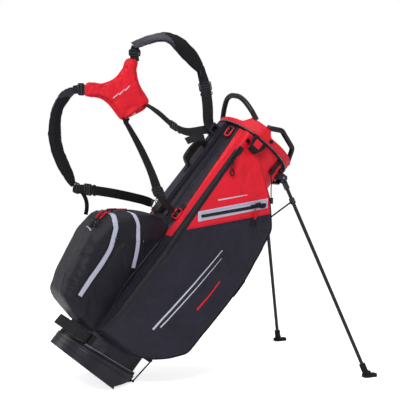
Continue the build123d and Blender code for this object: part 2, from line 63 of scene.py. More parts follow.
def flo(x, y, z):
    """A point from floor coordinates."""
    return Vector((x - CENTRE_X, y, z)) / 1000


def on_drum(angle, radius, z):
    """A point at an angle from the leg side, a radius and a height of the bag."""
    a = math.radians(angle)
    return bag(radius * math.cos(a), radius * math.sin(a), z)


# ---- camera, light, floor ---------------------------------------------------------------
def look(obj, target):
    obj.rotation_mode = "QUATERNION"
    obj.rotation_quaternion = (Vector(target) - obj.location).to_track_quat("-Z", "Y")


scene = bpy.context.scene
camera = bpy.data.objects.new("camera", bpy.data.cameras.new("camera"))
scene.collection.objects.link(camera)
camera.location = (-1.0860, -2.5025, 0.6796)
camera.data.lens = 80.93
camera.data.sensor_width = 36.0
look(camera, (0.0107, 0.0, 0.5237))
scene.camera = camera


def add_light(name, place, target, size, power):
    light = bpy.data.lights.new(name, "AREA")
    light.shape = "RECTANGLE"
    light.size, light.size_y = size
    light.energy = power
    obj = bpy.data.objects.new(name, light)
    scene.collection.objects.link(obj)
    obj.location = place
    look(obj, target)


add_light("key", (-1.6, -2.2, 3.0), (0, 0, 0.5), (1.3, 1.0), 74)
add_light("fill", (2.6, -2.0, 1.6), (0, 0, 0.5), (1.6, 2.2), 12)
add_light("rim", (-2.4, 1.6, 2.0), (0, 0, 0.6), (1.4, 2.0), 24)
add_light("top", (0.4, 0.4, 3.4), (0.0, 0, 0.4), (2.4, 2.4), 26)
world = bpy.data.worlds.new("studio")
world.use_nodes = True
sky = world.node_tree.nodes["Background"]
sky.inputs["Color"].default_value = (1.0, 1.0, 1.0, 1)
backdrop = world.node_tree.nodes.new("ShaderNodeLightPath")
dim = world.node_tree.nodes.new("ShaderNodeMapRange")
dim.inputs["To Min"].default_value = 0.24
dim.inputs["To Max"].default_value = 1.0
world.node_tree.links.new(backdrop.outputs["Is Camera Ray"], dim.inputs["Value"])
world.node_tree.links.new(dim.outputs["Result"], sky.inputs["Strength"])
scene.world = world
scene.view_settings.view_transform = "Standard"


# ---- materials --------------------------------------------------------------------------
def tone(r, g, b):
    """Linear colour from 0 to 255 display values."""
    out = []
    for c in (r, g, b):
        c = c / 255
        out.append(c / 12.92 if c <= 0.04045 else ((c + 0.055) / 1.055) ** 2.4)
    return (*out, 1.0)


WAVE_PITCH = 0.314          # a wave texture's scale times its pitch in metres
GLOSS_SPREAD = 0.07         # how far the roughness varies each way


def finish(name, colour, rough, metal=0.0, vary=0.12, patch=14.0, weave=None, ribs=None, cells=None,
    grain=420.0,
           bump=0.25, coat=0.0, sheen=0.0, wear_and_highlight=None, glow=0.0, fold=0.0):
    """Procedural material. weave is a yarn pitch in metres, ribs a pitch along a strap's UV, cells the scale
    of a mesh knit, grain the scale of a moulded texture, wear the lighter colour of convex edges, which stands
    partly for worn edges and partly for painted highlight, fold the strength of slack."""
    m = bpy.data.materials.new(name)
    m.use_nodes = True
    tree = m.node_tree
    shade = tree.nodes["Principled BSDF"]

    def feed(target, values):
        """Each input gets a number, a colour or another node's output."""
        for key, value in values.items():
            if isinstance(value, bpy.types.NodeSocket):
                tree.links.new(value, target.inputs[key])
            else:
                target.inputs[key].default_value = value

    def node(kind, values, output, **settings):
        """A new node's output socket."""
        made = tree.nodes.new("ShaderNode" + kind)
        for key, value in settings.items():
            setattr(made, key, value)
        feed(made, values)
        return made.outputs[output]

    feed(shade, {"Metallic": metal, "Coat Weight": coat, "Coat Roughness": 0.25, "Sheen Weight": sheen,
        "Sheen Roughness": 0.45, "Specular IOR Level": 0.3})
    if glow:
        seen = node("LightPath", {}, "Is Camera Ray")
        feed(shade, {"Emission Strength": node("MapRange", {"To Max": glow, "Value": seen}, "Result"),
            "Emission Color": colour})
    place = node("Mapping", {"Rotation": (0, -LEAN, 0), "Vector": node("TexCoord", {}, "Object")}, "Vector")
    cloud = node("TexNoise", {"Scale": patch, "Detail": 5.0, "Vector": place}, "Fac")
    fleck = node("TexNoise", {"Scale": grain, "Detail": 3.0, "Vector": place}, "Fac")
    both = node("Math", {0: fleck, 1: 0.35, 2: cloud}, "Value", operation="MULTIPLY_ADD")
    share = node("MapRange", {"From Min": 0.45, "From Max": 0.9, "Value": both}, "Result")
    dark = (*(c * (1 - vary) for c in colour[:3]), 1)
    pale = (*(min(1.0, c * (1 + vary)) for c in colour[:3]), 1)
    shown = node("Mix", {0: share, 6: dark, 7: pale}, 2, data_type="RGBA")
    # Convex edges (Pointiness) turn towards a lighter colour: partly worn edges, partly painted highlight.
    if wear_and_highlight:
        shape = node("NewGeometry", {}, "Pointiness")
        edge = node("MapRange", {"From Min": 0.51, "From Max": 0.62, "To Max": 0.75, "Value": shape}, "Result")
        shown = node("Mix", {0: edge, 6: shown, 7: wear_and_highlight}, 2, data_type="RGBA")
    gloss = node("MapRange", {"To Min": max(0.05, rough - GLOSS_SPREAD),
        "To Max": min(1.0, rough + GLOSS_SPREAD), "Value": cloud}, "Result")
    height = fleck
    if weave:
        height = None
        for axis in "XYZ":
            yarn = node("TexWave", {"Scale": WAVE_PITCH / weave, "Distortion": 0.6, "Vector": place}, "Fac",
                bands_direction=axis)
            height = yarn if height is None else node("Math", {0: height, 1: yarn}, "Value", operation="ADD")
    if ribs:
        uv = node("UVMap", {}, "UV", uv_map="UVMap")
        along = node("TexWave", {"Scale": WAVE_PITCH / ribs, "Vector": uv}, "Fac", bands_direction="Y")
        across = node("TexWave", {"Scale": WAVE_PITCH / (ribs * 2.2), "Vector": uv}, "Fac", bands_direction="X")
        height = node("Math", {0: along, 1: 0.7, 2: across}, "Value", operation="MULTIPLY_ADD")
    if cells:
        height = node("TexVoronoi", {"Scale": cells, "Vector": place}, "Distance")
    relief = {"Strength": bump, "Distance": 0.0006, "Height": height}
    if fold:
        drape = node("TexNoise", {"Scale": 11.0, "Detail": 2.0, "Distortion": 1.4, "Vector": place}, "Fac")
        relief["Normal"] = node("Bump", {"Strength": fold, "Distance": 0.012, "Height": drape}, "Normal")
    feed(shade, {"Base Color": shown, "Roughness": gloss, "Normal": node("Bump", relief, "Normal")})
    return m


# Each material's colour, roughness and detail.
LOOKS = {
    "black_cloth": (tone(31, 30, 43), 0.42, dict(weave=0.0011, bump=0.22, vary=0.16, sheen=0.02, fold=0.8)),
    "side_cloth": (tone(35, 33, 48), 0.42, dict(weave=0.0011, bump=0.2, vary=0.2, sheen=0.03, fold=1.0)),
    "ball_cloth": (tone(27, 25, 36), 0.42, dict(weave=0.0013, bump=0.25, vary=0.24, sheen=0.04, fold=0.7)),
    "red_cloth": (tone(234, 22, 46), 0.45, dict(weave=0.0011, bump=0.18, vary=0.08, sheen=0.02, fold=0.8)),
    "red_pad": (tone(232, 22, 44), 0.5, dict(weave=0.0014, bump=0.25, vary=0.08, sheen=0.03, fold=0.5)),
    "grey_pad": (tone(54, 53, 67), 0.48, dict(weave=0.0012, bump=0.25, vary=0.12, sheen=0.1, fold=0.5)),
    "mesh_pad": (tone(18, 17, 22), 0.8, dict(cells=420.0, bump=0.6, vary=0.2)),
    "lining": (tone(30, 30, 36), 0.75, dict(weave=0.0016, bump=0.2)),
    "webbing": (tone(17, 16, 21), 0.62, dict(ribs=0.0016, bump=0.5, vary=0.18)),
    "piping": (tone(22, 21, 27), 0.38, dict(grain=900.0, bump=0.1, vary=0.15)),
    # A thin light line on the cuff piping and the base binding: painted highlight along their rounded edges.
    "edge_line": (tone(150, 152, 170), 0.35, dict(grain=900.0, bump=0.08, vary=0.1)),
    "tape": (tone(190, 190, 212), 0.38, dict(cells=1300.0, bump=0.15, vary=0.06, coat=0.15)),
    "zip_tape": (tone(30, 29, 37), 0.5, dict(weave=0.0009, bump=0.25)),
    "zip_teeth": (tone(26, 26, 30), 0.3, dict(grain=800.0, bump=0.1)),
    "thread": (tone(54, 52, 64), 0.7, dict(grain=1500.0, bump=0.2)),
    # This red is the red stitching's colour. The apparel pulls' cords use it too: a darker copy of the red cord,
    # painted shade.
    "red_thread": (tone(150, 14, 28), 0.7, dict(grain=1500.0, bump=0.2)),
    "red_cord": (tone(206, 24, 40), 0.6, dict(grain=1400.0, bump=0.4)),
    "silver_print": (tone(205, 208, 222), 0.35, dict(grain=1200.0, bump=0.1, vary=0.06)),
    # The lighter edge colours of the plastics and the leg paint stand partly for worn edges and partly for painted
    # highlight.
    "plastic": (tone(22, 21, 25), 0.38, dict(grain=700.0, bump=0.12, vary=0.12, wear_and_highlight=tone(60, 60, 70))),
    "satin_plastic": (tone(18, 17, 23), 0.34, dict(grain=500.0, bump=0.1, vary=0.14, wear_and_highlight=tone(50, 50, 62))),
    "base_plastic": (tone(15, 14, 22), 0.36, dict(grain=420.0, bump=0.2, vary=0.2, wear_and_highlight=tone(44, 44, 54))),
    "rubber": (tone(28, 28, 30), 0.8, dict(grain=600.0, bump=0.35, vary=0.2)),
    "leg_paint": (tone(20, 19, 22), 0.3, dict(metal=0.15, grain=1100.0, bump=0.06, vary=0.1, coat=0.15,
                                                wear_and_highlight=tone(52, 52, 58))),
    "wire": (tone(26, 26, 28), 0.35, dict(metal=0.3, grain=900.0, bump=0.08, vary=0.15)),
    "steel": (tone(178, 178, 184), 0.28, dict(metal=1.0, grain=900.0, bump=0.08, vary=0.1)),
    "gun_metal": (tone(48, 47, 54), 0.32, dict(metal=0.7, grain=900.0, bump=0.08, vary=0.15)),
    "red_plastic": (tone(226, 30, 44), 0.35, dict(grain=700.0, bump=0.08, vary=0.1)),
    "elastic": (tone(30, 30, 34), 0.65, dict(grain=1600.0, bump=0.5)),
    "floor": (tone(250, 250, 251), 0.7, dict(grain=60.0, bump=0.02, vary=0.01, patch=3.0, glow=0.82)),
}
M = {name: finish(name, colour, rough, **more) for name, (colour, rough, more) in LOOKS.items()}


# ---- mesh helpers -----------------------------------------------------------------------
def spline(rows, per=8, closed=False):
    """Catmull-Rom through rows of numbers of any length."""
    rows = [tuple(r) for r in rows]
    n = len(rows)
    out = []
    for i in range(n if closed else n - 1):
        if closed:
            a, b, c, d = (rows[(i + k) % n] for k in (-1, 0, 1, 2))
        else:
            b, c = rows[i], rows[i + 1]
            a = rows[i - 1] if i else tuple(2 * p - q for p, q in zip(b, c))
            d = rows[i + 2] if i + 2 < n else tuple(2 * q - p for p, q in zip(b, c))
        for k in range(per):
            t = k / per
            out.append(tuple(0.5 * (2 * q + (r - p) * t + (2 * p - 5 * q + 4 * r - s) * t * t
                                    + (3 * q - p - 3 * r + s) * t ** 3) for p, q, r, s in zip(a, b, c, d)))
    if not closed:
        out.append(rows[-1])
    return out


def even(points, step):
    """Points at about equal spacing along a polyline."""
    points = [Vector(p) for p in points]
    total = sum((b - a).length for a, b in zip(points, points[1:]))
    count = max(2, round(total / step))
    gap = total / count
    out, run, need = [points[0]], 0.0, gap
    for a, b in zip(points, points[1:]):
        length = (b - a).length
        while run + length >= need - 1e-9 and len(out) < count:
            out.append(a.lerp(b, (need - run) / length))
            need += gap
        run += length
    out.append(points[-1])
    return out


# The record's slot for a piece of each material, unless the piece names another; add_object looks it up but stores
# it nowhere.
SLOT_OF = {
    "black_cloth": "body_fabric", "side_cloth": "body_fabric", "ball_cloth": "body_fabric",
    "zip_tape": "body_fabric", "piping": "body_fabric", "thread": "body_fabric", "webbing": "webbing",
    "lining": "lining",
    "red_cloth": "red_fabric", "red_thread": "red_fabric", "red_plastic": "red_fabric", "red_pad": "red_pad",
    "tape": "reflective_tape", "silver_print": "reflective_tape", "edge_line": "reflective_tape",
    "zip_teeth": "zip_metal", "gun_metal": "zip_metal", "steel": "steel_wire",
    "plastic": "black_plastic", "satin_plastic": "black_plastic",
}


def add_object(name, mesh, mats, body="root", angle=38, replaces=(), slot=None):
    mats = mats if isinstance(mats, (list, tuple)) else [mats]
    for m in mats:
        mesh.materials.append(M[m])
    mesh.shade_smooth()
    mesh.set_sharp_from_angle(angle=math.radians(angle))
    obj = bpy.data.objects.new(name, mesh)
    scene.collection.objects.link(obj)
    if body:
        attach(obj, body)
    if replaces:
        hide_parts(*replaces)
    slot = slot or SLOT_OF.get(mats[0])
    return obj


def new_mesh(name, verts, faces):
    mesh = bpy.data.meshes.new(name)
    mesh.from_pydata([tuple(v) for v in verts], [], faces)
    return mesh


def opened(mesh):
    bm = bmesh.new()
    bm.from_mesh(mesh)
    return bm


def weld(bm, dist=2e-6):
    """Merge doubled points, drop slivers and turn the faces outwards."""
    bmesh.ops.remove_doubles(bm, verts=bm.verts, dist=dist)
    bmesh.ops.dissolve_degenerate(bm, edges=bm.edges, dist=1e-6)
    bmesh.ops.recalc_face_normals(bm, faces=bm.faces)


def cut(bm, place, normal):
    bmesh.ops.bisect_plane(bm, geom=[*bm.verts, *bm.edges, *bm.faces], plane_co=place, plane_no=normal)


def put_back(bm, mesh):
    bm.to_mesh(mesh)
    bm.free()


def build(name, verts, faces, mats, uvs=None, **more):
    mesh = new_mesh(name, verts, faces)
    mesh.update()
    if uvs:
        layer = mesh.uv_layers.new(name="UVMap")
        for loop in mesh.loops:
            layer.data[loop.index].uv = uvs[loop.vertex_index]
    bm = opened(mesh)
    weld(bm)
    put_back(bm, mesh)
    return add_object(name, mesh, mats, **more)


def band(rows, n, around=True, over=False):
    """Quads between rows of n points. around closes each row, over joins the last row to the first."""
    faces = []
    for i in range(rows if over else rows - 1):
        j = (i + 1) % rows
        for k in range(n if around else n - 1):
            m = (k + 1) % n
            faces.append((i * n + k, i * n + m, j * n + m, j * n + k))
    return faces


def capped(rows, n):
    """A band with both ends closed."""
    return [*band(rows, n), tuple(range(n)), tuple(range((rows - 1) * n, rows * n))]


def slab(nu, nv):
    """Faces of two stacked grids of nu by nv cells, joined round their rim."""
    across = nv + 1
    size = (nu + 1) * across
    faces = []
    for i in range(nu):
        for j in range(nv):
            k = i * across + j
            quad = (k, k + 1, k + across + 1, k + across)
            faces += [tuple(size + x for x in quad), quad[::-1]]
    rim = [*(i * across for i in range(nu)), *(nu * across + j for j in range(nv)),
        *(i * across + nv for i in range(nu, 0, -1)), *range(nv, 0, -1)]
    return faces + [(x, y, size + y, size + x) for x, y in zip(rim, rim[1:] + rim[:1])]


def circle(count):
    """Points of a flat circle of radius 1."""
    return [(math.cos(a), math.sin(a)) for a in (2 * math.pi * k / count for k in range(count))]


def tangent(points, i):
    """Direction of a row of points, at one of them."""
    return (points[min(i + 1, len(points) - 1)] - points[max(i - 1, 0)]).normalized()


def square(broad, ahead):
    """The part of a direction that is square to ahead."""
    return (broad - ahead * broad.dot(ahead)).normalized()


def frames(points, closed=False):
    """Tangent and a steady normal at each point."""
    n = len(points)
    tangents = []
    for i in range(n):
        a = points[(i - 1) % n] if closed or i else points[i]
        b = points[(i + 1) % n] if closed or i < n - 1 else points[i]
        tangents.append((b - a).normalized())
    ref = Vector((0, 0, 1)) if abs(tangents[0].z) < 0.9 else Vector((1, 0, 0))
    normal = square(ref, tangents[0])
    out = []
    for t in tangents:
        normal = square(normal, t)
        out.append((t, normal, t.cross(normal)))
    return out


def tube_mesh(points, radius, sides=10, closed=False):
    """Vertices and faces of a round tube; radius is one number or one per point."""
    points = [Vector(p) for p in points]
    radii = radius if isinstance(radius, (list, tuple)) else [radius] * len(points)
    verts = []
    for p, r, (_, n, b) in zip(points, radii, frames(points, closed)):
        for k in range(sides):
            a = 2 * math.pi * k / sides
            verts.append(p + (n * math.cos(a) + b * math.sin(a)) * r)
    faces = band(len(points), sides, over=closed)
    if not closed:
        faces += [tuple(range(sides))[::-1], tuple(range(len(verts) - sides, len(verts)))]
    return verts, faces


def tube(name, points, radius, mat, sides=10, closed=False, **more):
    return build(name, *tube_mesh(points, radius, sides, closed), mat, **more)


def gather(parts):
    """Several (verts, faces) as one."""
    verts, faces = [], []
    for v, f in parts:
        base = len(verts)
        verts.extend(v)
        faces.extend(tuple(i + base for i in face) for face in f)
    return verts, faces


def ribbon(name, stations, thick, mat, per=8, **more):
    """Flat strap through (point, broad direction, width in metres) stations, with a rolled selvedge."""
    rows = spline([(*p, *d, w) for p, d, w in stations], per)
    points = [Vector(r[:3]) for r in rows]
    profile = ((-1, 0.35), (-0.93, 0.9), (-0.8, 0.8), (-0.3, 1), (0.3, 1), (0.8, 0.8), (0.93, 0.9), (1, 0.35))
    loop = [*profile, *[(u, -v) for u, v in reversed(profile)]]
    verts, uvs, run = [], [], 0.0
    for i, (row, p) in enumerate(zip(rows, points)):
        ahead = tangent(points, i)
        broad = square(Vector(row[3:6]), ahead)
        normal = ahead.cross(broad)
        if i:
            run += (p - points[i - 1]).length
        for u, v in loop:
            verts.append(p + broad * u * row[6] / 2 + normal * v * thick / 2)
            uvs.append((u * row[6] / 2, run))
    return build(name, verts, capped(len(rows), len(loop)), mat, uvs=uvs, **more)


class Skin:
    """A piece's surface, for laying trim on."""

    def __init__(self, *objects):
        verts, faces = [], []
        for obj in objects:
            base = len(verts)
            verts.extend(v.co.copy() for v in obj.data.vertices)
            faces.extend(tuple(i + base for i in p.vertices) for p in obj.data.polygons)
        self.tree = BVHTree.FromPolygons(verts, faces)

    def at(self, point, lift=0.0):
        place, normal, _, _ = self.tree.find_nearest(point)
        if (point - place).dot(normal) < -0.02:
            normal = -normal
        return place + normal * lift, normal


def lay(skin, points, step):
    """Evenly spaced points on the skin, with normals."""
    flat = [skin.at(Vector(p))[0] for p in points]
    return [skin.at(p) for p in even(flat, step)]


TAPE_CELLS = 4              # cells across a tape laid on a skin


def applique(name, skin, path, width, thick, mat, step=0.006, **more):
    """Tape laid on a skin along a path, every point of it on the skin."""
    spots = lay(skin, spline(path, 6), step)
    points = [p for p, _ in spots]
    widths = width if isinstance(width, (list, tuple)) else (width, width)
    verts, uvs, run = [], [], 0.0
    for i, (p, n) in enumerate(spots):
        side = tangent(points, i).cross(n).normalized()
        w = widths[0] + (widths[1] - widths[0]) * i / (len(spots) - 1)
        if i:
            run += (p - points[i - 1]).length
        shares = [k / TAPE_CELLS * 2 - 1 for k in range(TAPE_CELLS + 1)]
        row = [(*skin.at(p + side * u * w / 2), u) for u in shares]
        for q, m, u in row:
            verts.append(q + m * (thick if abs(u) < 0.99 else thick * 0.55))
            uvs.append((u * w / 2, run))
        for q, m, u in reversed(row):
            verts.append(q - m * 0.0006)
            uvs.append((u * w / 2, run))
    return build(name, verts, capped(len(spots), 2 * (TAPE_CELLS + 1)), mat, uvs=uvs, **more)


def cording(name, skin, path, radius, mat, lift=0.0004, per=6, **more):
    """Round piping laid along a skin."""
    spots = lay(skin, spline(path, per), 0.006)
    return tube(name, [p + n * lift for p, n in spots], radius, mat, sides=8, **more)


STITCH, STITCH_PITCH = 0.0032, 0.0048


def stitches(name, skin, paths, mat="thread", lift=0.0004, radius=0.0005, per=6, **more):
    """A row of raised stitches along each path."""
    parts = []
    for path in paths:
        for p, n in lay(skin, spline(path, per), STITCH_PITCH)[1:-1]:
            parts.append((p + n * lift, n))
    made = []
    for i, (p, n) in enumerate(parts):
        follows = i + 1 < len(parts) and (parts[i + 1][0] - p).length < STITCH_PITCH * 2
        nearest = parts[i + 1 if follows else i - 1][0]
        ahead = (nearest - p).normalized() * STITCH / 2
        top = n * radius * 0.6
        made.append(tube_mesh([p - ahead, p - ahead * 0.5 + top, p + ahead * 0.5 + top, p + ahead],
            [radius * 0.5, radius, radius, radius * 0.5], 5))
    return build(name, *gather(made), mat, **more)


def zip_coil(name, skin, path, trim, crest):
    """Teeth of a coil zip along a path on a skin, leaning left and right in turn."""
    coil = lay(skin, spline(path, 6), 0.0024)
    teeth = []
    for i, (p, n) in enumerate(coil[trim:-trim]):
        ahead = (coil[i + trim + 1][0] - p).normalized()
        side = ahead.cross(n) * (0.0009 if i % 2 else -0.0009)
        low = p + n * 0.0009
        teeth.append(tube_mesh([low - side * 1.6, p + n * crest, low + side * 1.6], [0.0006, 0.0008, 0.0006],
            5))
    build(name, *gather(teeth), "zip_teeth")


def patch(name, skin, corners, thick, mat, cells=(12, 8), rounding=0.0, **more):
    """Flat patch between four corners, laid on the skin; rounding squeezes its corners."""
    a, b, c, d = (Vector(p) for p in corners)
    verts = []
    nu, nv = cells
    for layer in (0, 1):
        for i in range(nu + 1):
            for j in range(nv + 1):
                u, v = i / nu * 2 - 1, j / nv * 2 - 1
                if rounding:
                    u, v = (u * math.sqrt(1 - rounding * v * v / 2), v * math.sqrt(1 - rounding * u * u / 2))
                s, t = (u + 1) / 2, (v + 1) / 2
                p, n = skin.at(a.lerp(b, s).lerp(d.lerp(c, s), t))
                rim = i in (0, nu) or j in (0, nv)
                verts.append(p + n * ((thick * (0.5 if rim else 1)) if layer else -0.0006))
    return build(name, verts, slab(nu, nv), mat, **more)


# ---- the elastic cord comes first -------------------------------------------------------
START = Vector((0.1968, -0.106435, 0.603504))
ROUTE = ((0, 0, -0.0018), (0.004, 0.001, -0.022), (0.003, 0.004, -0.046), (0.0045, 0.005, -0.072))
line = bpy.data.curves.new("elastic_cord_line", "CURVE")
line.dimensions = "3D"
run = line.splines.new("NURBS")
run.points.add(len(ROUTE) - 1)
for point, shift in zip(run.points, ROUTE):
    point.co = (*(START + Vector(shift)), 1.0)
run.order_u = 3
run.use_endpoint_u = True
run.resolution_u = 12
line.bevel_depth = 0.0016
line.bevel_resolution = 4
line.use_fill_caps = True
line.materials.append(M["elastic"])
cord = bpy.data.objects.new("elastic_cord_line", line)
scene.collection.objects.link(cord)
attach(cord, "root")
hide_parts("elastic_cord")

# floor
floor_mesh = bpy.data.meshes.new("floor")
floor_mesh.from_pydata([(-9, -9, 0), (9, -9, 0), (9, 9, 0), (-9, 9, 0)], [], [(0, 1, 2, 3)])
floor = add_object("floor", floor_mesh, "floor", body=None)


# ---- skins ------------------------------------------------------------------------------
def table_value(rows, z, column, blur=10.0):
    """Value of a station table at a height, linear between rows and softened."""
    def plain(h):
        if h <= rows[0][0]:
            return rows[0][column]
        for a, b in zip(rows, rows[1:]):
            if h <= b[0]:
                return a[column] + (b[column] - a[column]) * (h - a[0]) / (b[0] - a[0])
        return rows[-1][column]
    return (plain(z - blur) + 2 * plain(z) + plain(z + blur)) / 4


def wave_at(x, y, z, seed):
    """Smooth noise from -1 to 1; the seed picks the field."""
    return noise.noise(Vector((x, y, z)) + Vector((seed, seed * 1.7, -seed)))


def near_segment(px, pz, ax, az, bx, bz):
    """Distance from a point to a segment, and how far along it that is."""
    dx, dz = bx - ax, bz - az
    t = max(0.0, min(1.0, ((px - ax) * dx + (pz - az) * dz) / (dx * dx + dz * dz)))
    return math.hypot(px - ax - dx * t, pz - az - dz * t), t


def crease_depth(creases, x, z):
    """Depth of creases given as (x, z, x, z, depth, width)."""
    total = 0.0
    for ax, az, bx, bz, depth, width in creases:
        d, t = near_segment(x, z, ax, az, bx, bz)
        total += depth * math.exp(-(d / width) ** 2) * math.sin(math.pi * min(1, max(0, 0.12 + 0.76 * t)))
    return total


COLOUR_Z, COLOUR_SLOPE = 546.4, 1.084     # where red meets black on a side pocket, at x = 0, and its rise
STRIPE_END, BAND_END = 437, 762           # heights where the rear stripe and band change colour
SIDE = ((100, 20, 132), (124, 88, 152), (164, 134, 163), (204, 168, 166), (380, 178, 166), (479, 184, 156.3),
    (583, 175, 146.2), (650, 166, 139.7), (717, 106, 133.1), (764, 40, 128.5), (830, -58, 122.1))
SIDE_CREASES = ((-58, 786, 10, 700, 3.0, 9), (-34, 778, 34, 716, 2.2, 7), (-70, 760, -40, 690, 1.4, 10),
    (60, 742, 88, 668, 2.6, 9), (96, 716, 118, 640, 2.0, 8), (30, 760, 52, 700, 1.8, 7),
    (150, 640, 96, 590, 2.6, 10), (168, 600, 110, 560, 2.0, 9), (176, 540, 120, 520, 1.8, 11),
    (20, 118, -40, 190, 2.4, 12), (90, 150, 40, 240, 2.0, 13), (140, 190, 100, 290, 1.8, 12),
    (172, 260, 120, 330, 1.4, 12), (172, 420, 130, 460, 1.5, 12), (-60, 150, -66, 260, 1.8, 9),
    (-62, 420, -64, 260, 1.6, 10), (-20, 300, 60, 420, 1.0, 22), (40, 200, 120, 380, 0.9, 20))


def side_depth(x, z):
    """How far the pocket's face lies inside its flat, in millimetres."""
    soft = 1.0 + 1.1 * wave_at(x * 0.011, 0, z * 0.008, 2.0) + 0.5 * wave_at(x * 0.03, 0, z * 0.02, 5.0)
    return max(0.0, min(7.0, soft + 1.5 * crease_depth(SIDE_CREASES, x, z)))


def side_section(z):
    """Pocket outline at a height, for the right side: bag x, distance from the middle, and what it lies on."""
    high, out = table_value(SIDE, z, 1), table_value(SIDE, z, 2, 4)
    low, back_r = -83.0, 8.0
    front_r = min(20.0, (high - low - back_r) * 0.7)
    tube_in = math.sqrt(TUBE_R ** 2 - low ** 2) - 2
    split = min(out - back_r - 1, 135 - 0.053 * (z - STRIPE_END))
    path = [(low, tube_in + (split - tube_in) * k / 5, "stripe") for k in range(5)]
    path += [(low, split + (out - back_r - split) * k / 3, "band") for k in range(3)]
    for k in range(5):
        a = math.radians(90 * k / 4)
        path.append((low + back_r * (1 - math.cos(a)), out - back_r * (1 - math.sin(a)), "band"))
    start, stop = low + back_r, high - front_r
    for k in range(1, 34):
        path.append((start + (stop - start) * k / 33, out, "face"))
    for k in range(1, 6):
        a = math.radians(90 * k / 5)
        path.append((stop + front_r * math.sin(a), out - front_r * (1 - math.cos(a)), "edge"))
    if high > 98:
        inner, tail, end = 84.9 + 0.412 * (high - 121.5), 93.0, 73.0
    else:
        inner = math.sqrt(max(0.0, TUBE_R ** 2 - high ** 2)) - 1
        tail, end = high - 0.5, inner
    for k in range(1, 7):
        path.append((high, out - front_r + (inner + 3 - out + front_r) * k / 6, "front"))
    for k in range(1, 5):
        path.append((high + (tail - high) * k / 4, inner + (end - inner) * k / 4, "inner"))
    return path


def side_pocket(sign, name):
    """The cloth of one side pocket, cut where its colours meet."""
    heights = [98, 100, 103, 107] + [112 + 8.5 * k for k in range(84)] + [822, 827, 831, 834, 836]
    verts = []
    for z in heights:
        level = min(max(z, 100), 826)
        section = side_section(level)
        squeeze = 1.0
        if z < 112:
            squeeze = math.sin(math.radians(90 * (z - 98) / 14))
        if z > 824:
            squeeze = math.cos(math.radians(90 * (z - 824) / 12))
        for x, y, kind in section:
            near = math.sqrt(max(0.0, TUBE_R ** 2 - min(abs(x), 117) ** 2)) - 1
            if kind in ("face", "edge"):
                y -= side_depth(x, z) * min(1.0, (x + 75) / 14 if x < -61 else 1.0)
            if kind in ("front", "inner"):
                x -= 0.0 if kind == "inner" else 2.5 + 2.0 * wave_at(0, y * 0.02, z * 0.02, 8.0)
            if y > near:
                y = near + (y - near) * squeeze
            verts.append(bag(x, sign * y, z))
    n = len(section)
    mesh = new_mesh(name, verts, band(len(heights), n, around=False))
    bm = opened(mesh)
    kind_layer = bm.faces.layers.int.new("kind")
    bm.faces.ensure_lookup_table()
    order = {"stripe": 0, "band": 1, "face": 2, "edge": 3, "front": 4, "inner": 5}
    for index, face in enumerate(bm.faces):
        k = index % (n - 1)
        here = section[k][2]
        face[kind_layer] = order[here] if here in ("stripe", "band") else order[section[k + 1][2]]
    level, up = turn(-COLOUR_SLOPE, 0, 1), turn(0, 0, 1)
    colour_at, stripe_at, band_at = (bag(0, 0, z) for z in (COLOUR_Z, STRIPE_END, BAND_END))
    cut(bm, colour_at, level)
    cut(bm, stripe_at, up)
    cut(bm, band_at, up)
    weld(bm)
    parts = {order["stripe"]: (stripe_at, up, 0), order["band"]: (band_at, up, 2)}
    for f in bm.faces:
        c = f.calc_center_median()
        place, normal, below = parts.get(f[kind_layer], (colour_at, level, 0))
        f.material_index = 1 if (c - place).dot(normal) > 0 else below
    put_back(bm, mesh)
    return add_object(name, mesh, ["side_cloth", "red_cloth", "zip_tape"],
        replaces=[f"side_pocket_{'right' if sign < 0 else 'left'}"], angle=50)


right_pocket = side_pocket(-1, "side_pocket_skin_right")
left_pocket = side_pocket(1, "side_pocket_skin_left")


TUBE_TOP, TUBE_ROWS = 845, 66
RED_BAND_Z, RED_STRIPE_Z = 640, 432       # the tube is red above these heights, in front and behind
STRIPE_ANGLES = ((47, 430), (37.4, 825))  # the spine panel's edge: degrees from the back, and height


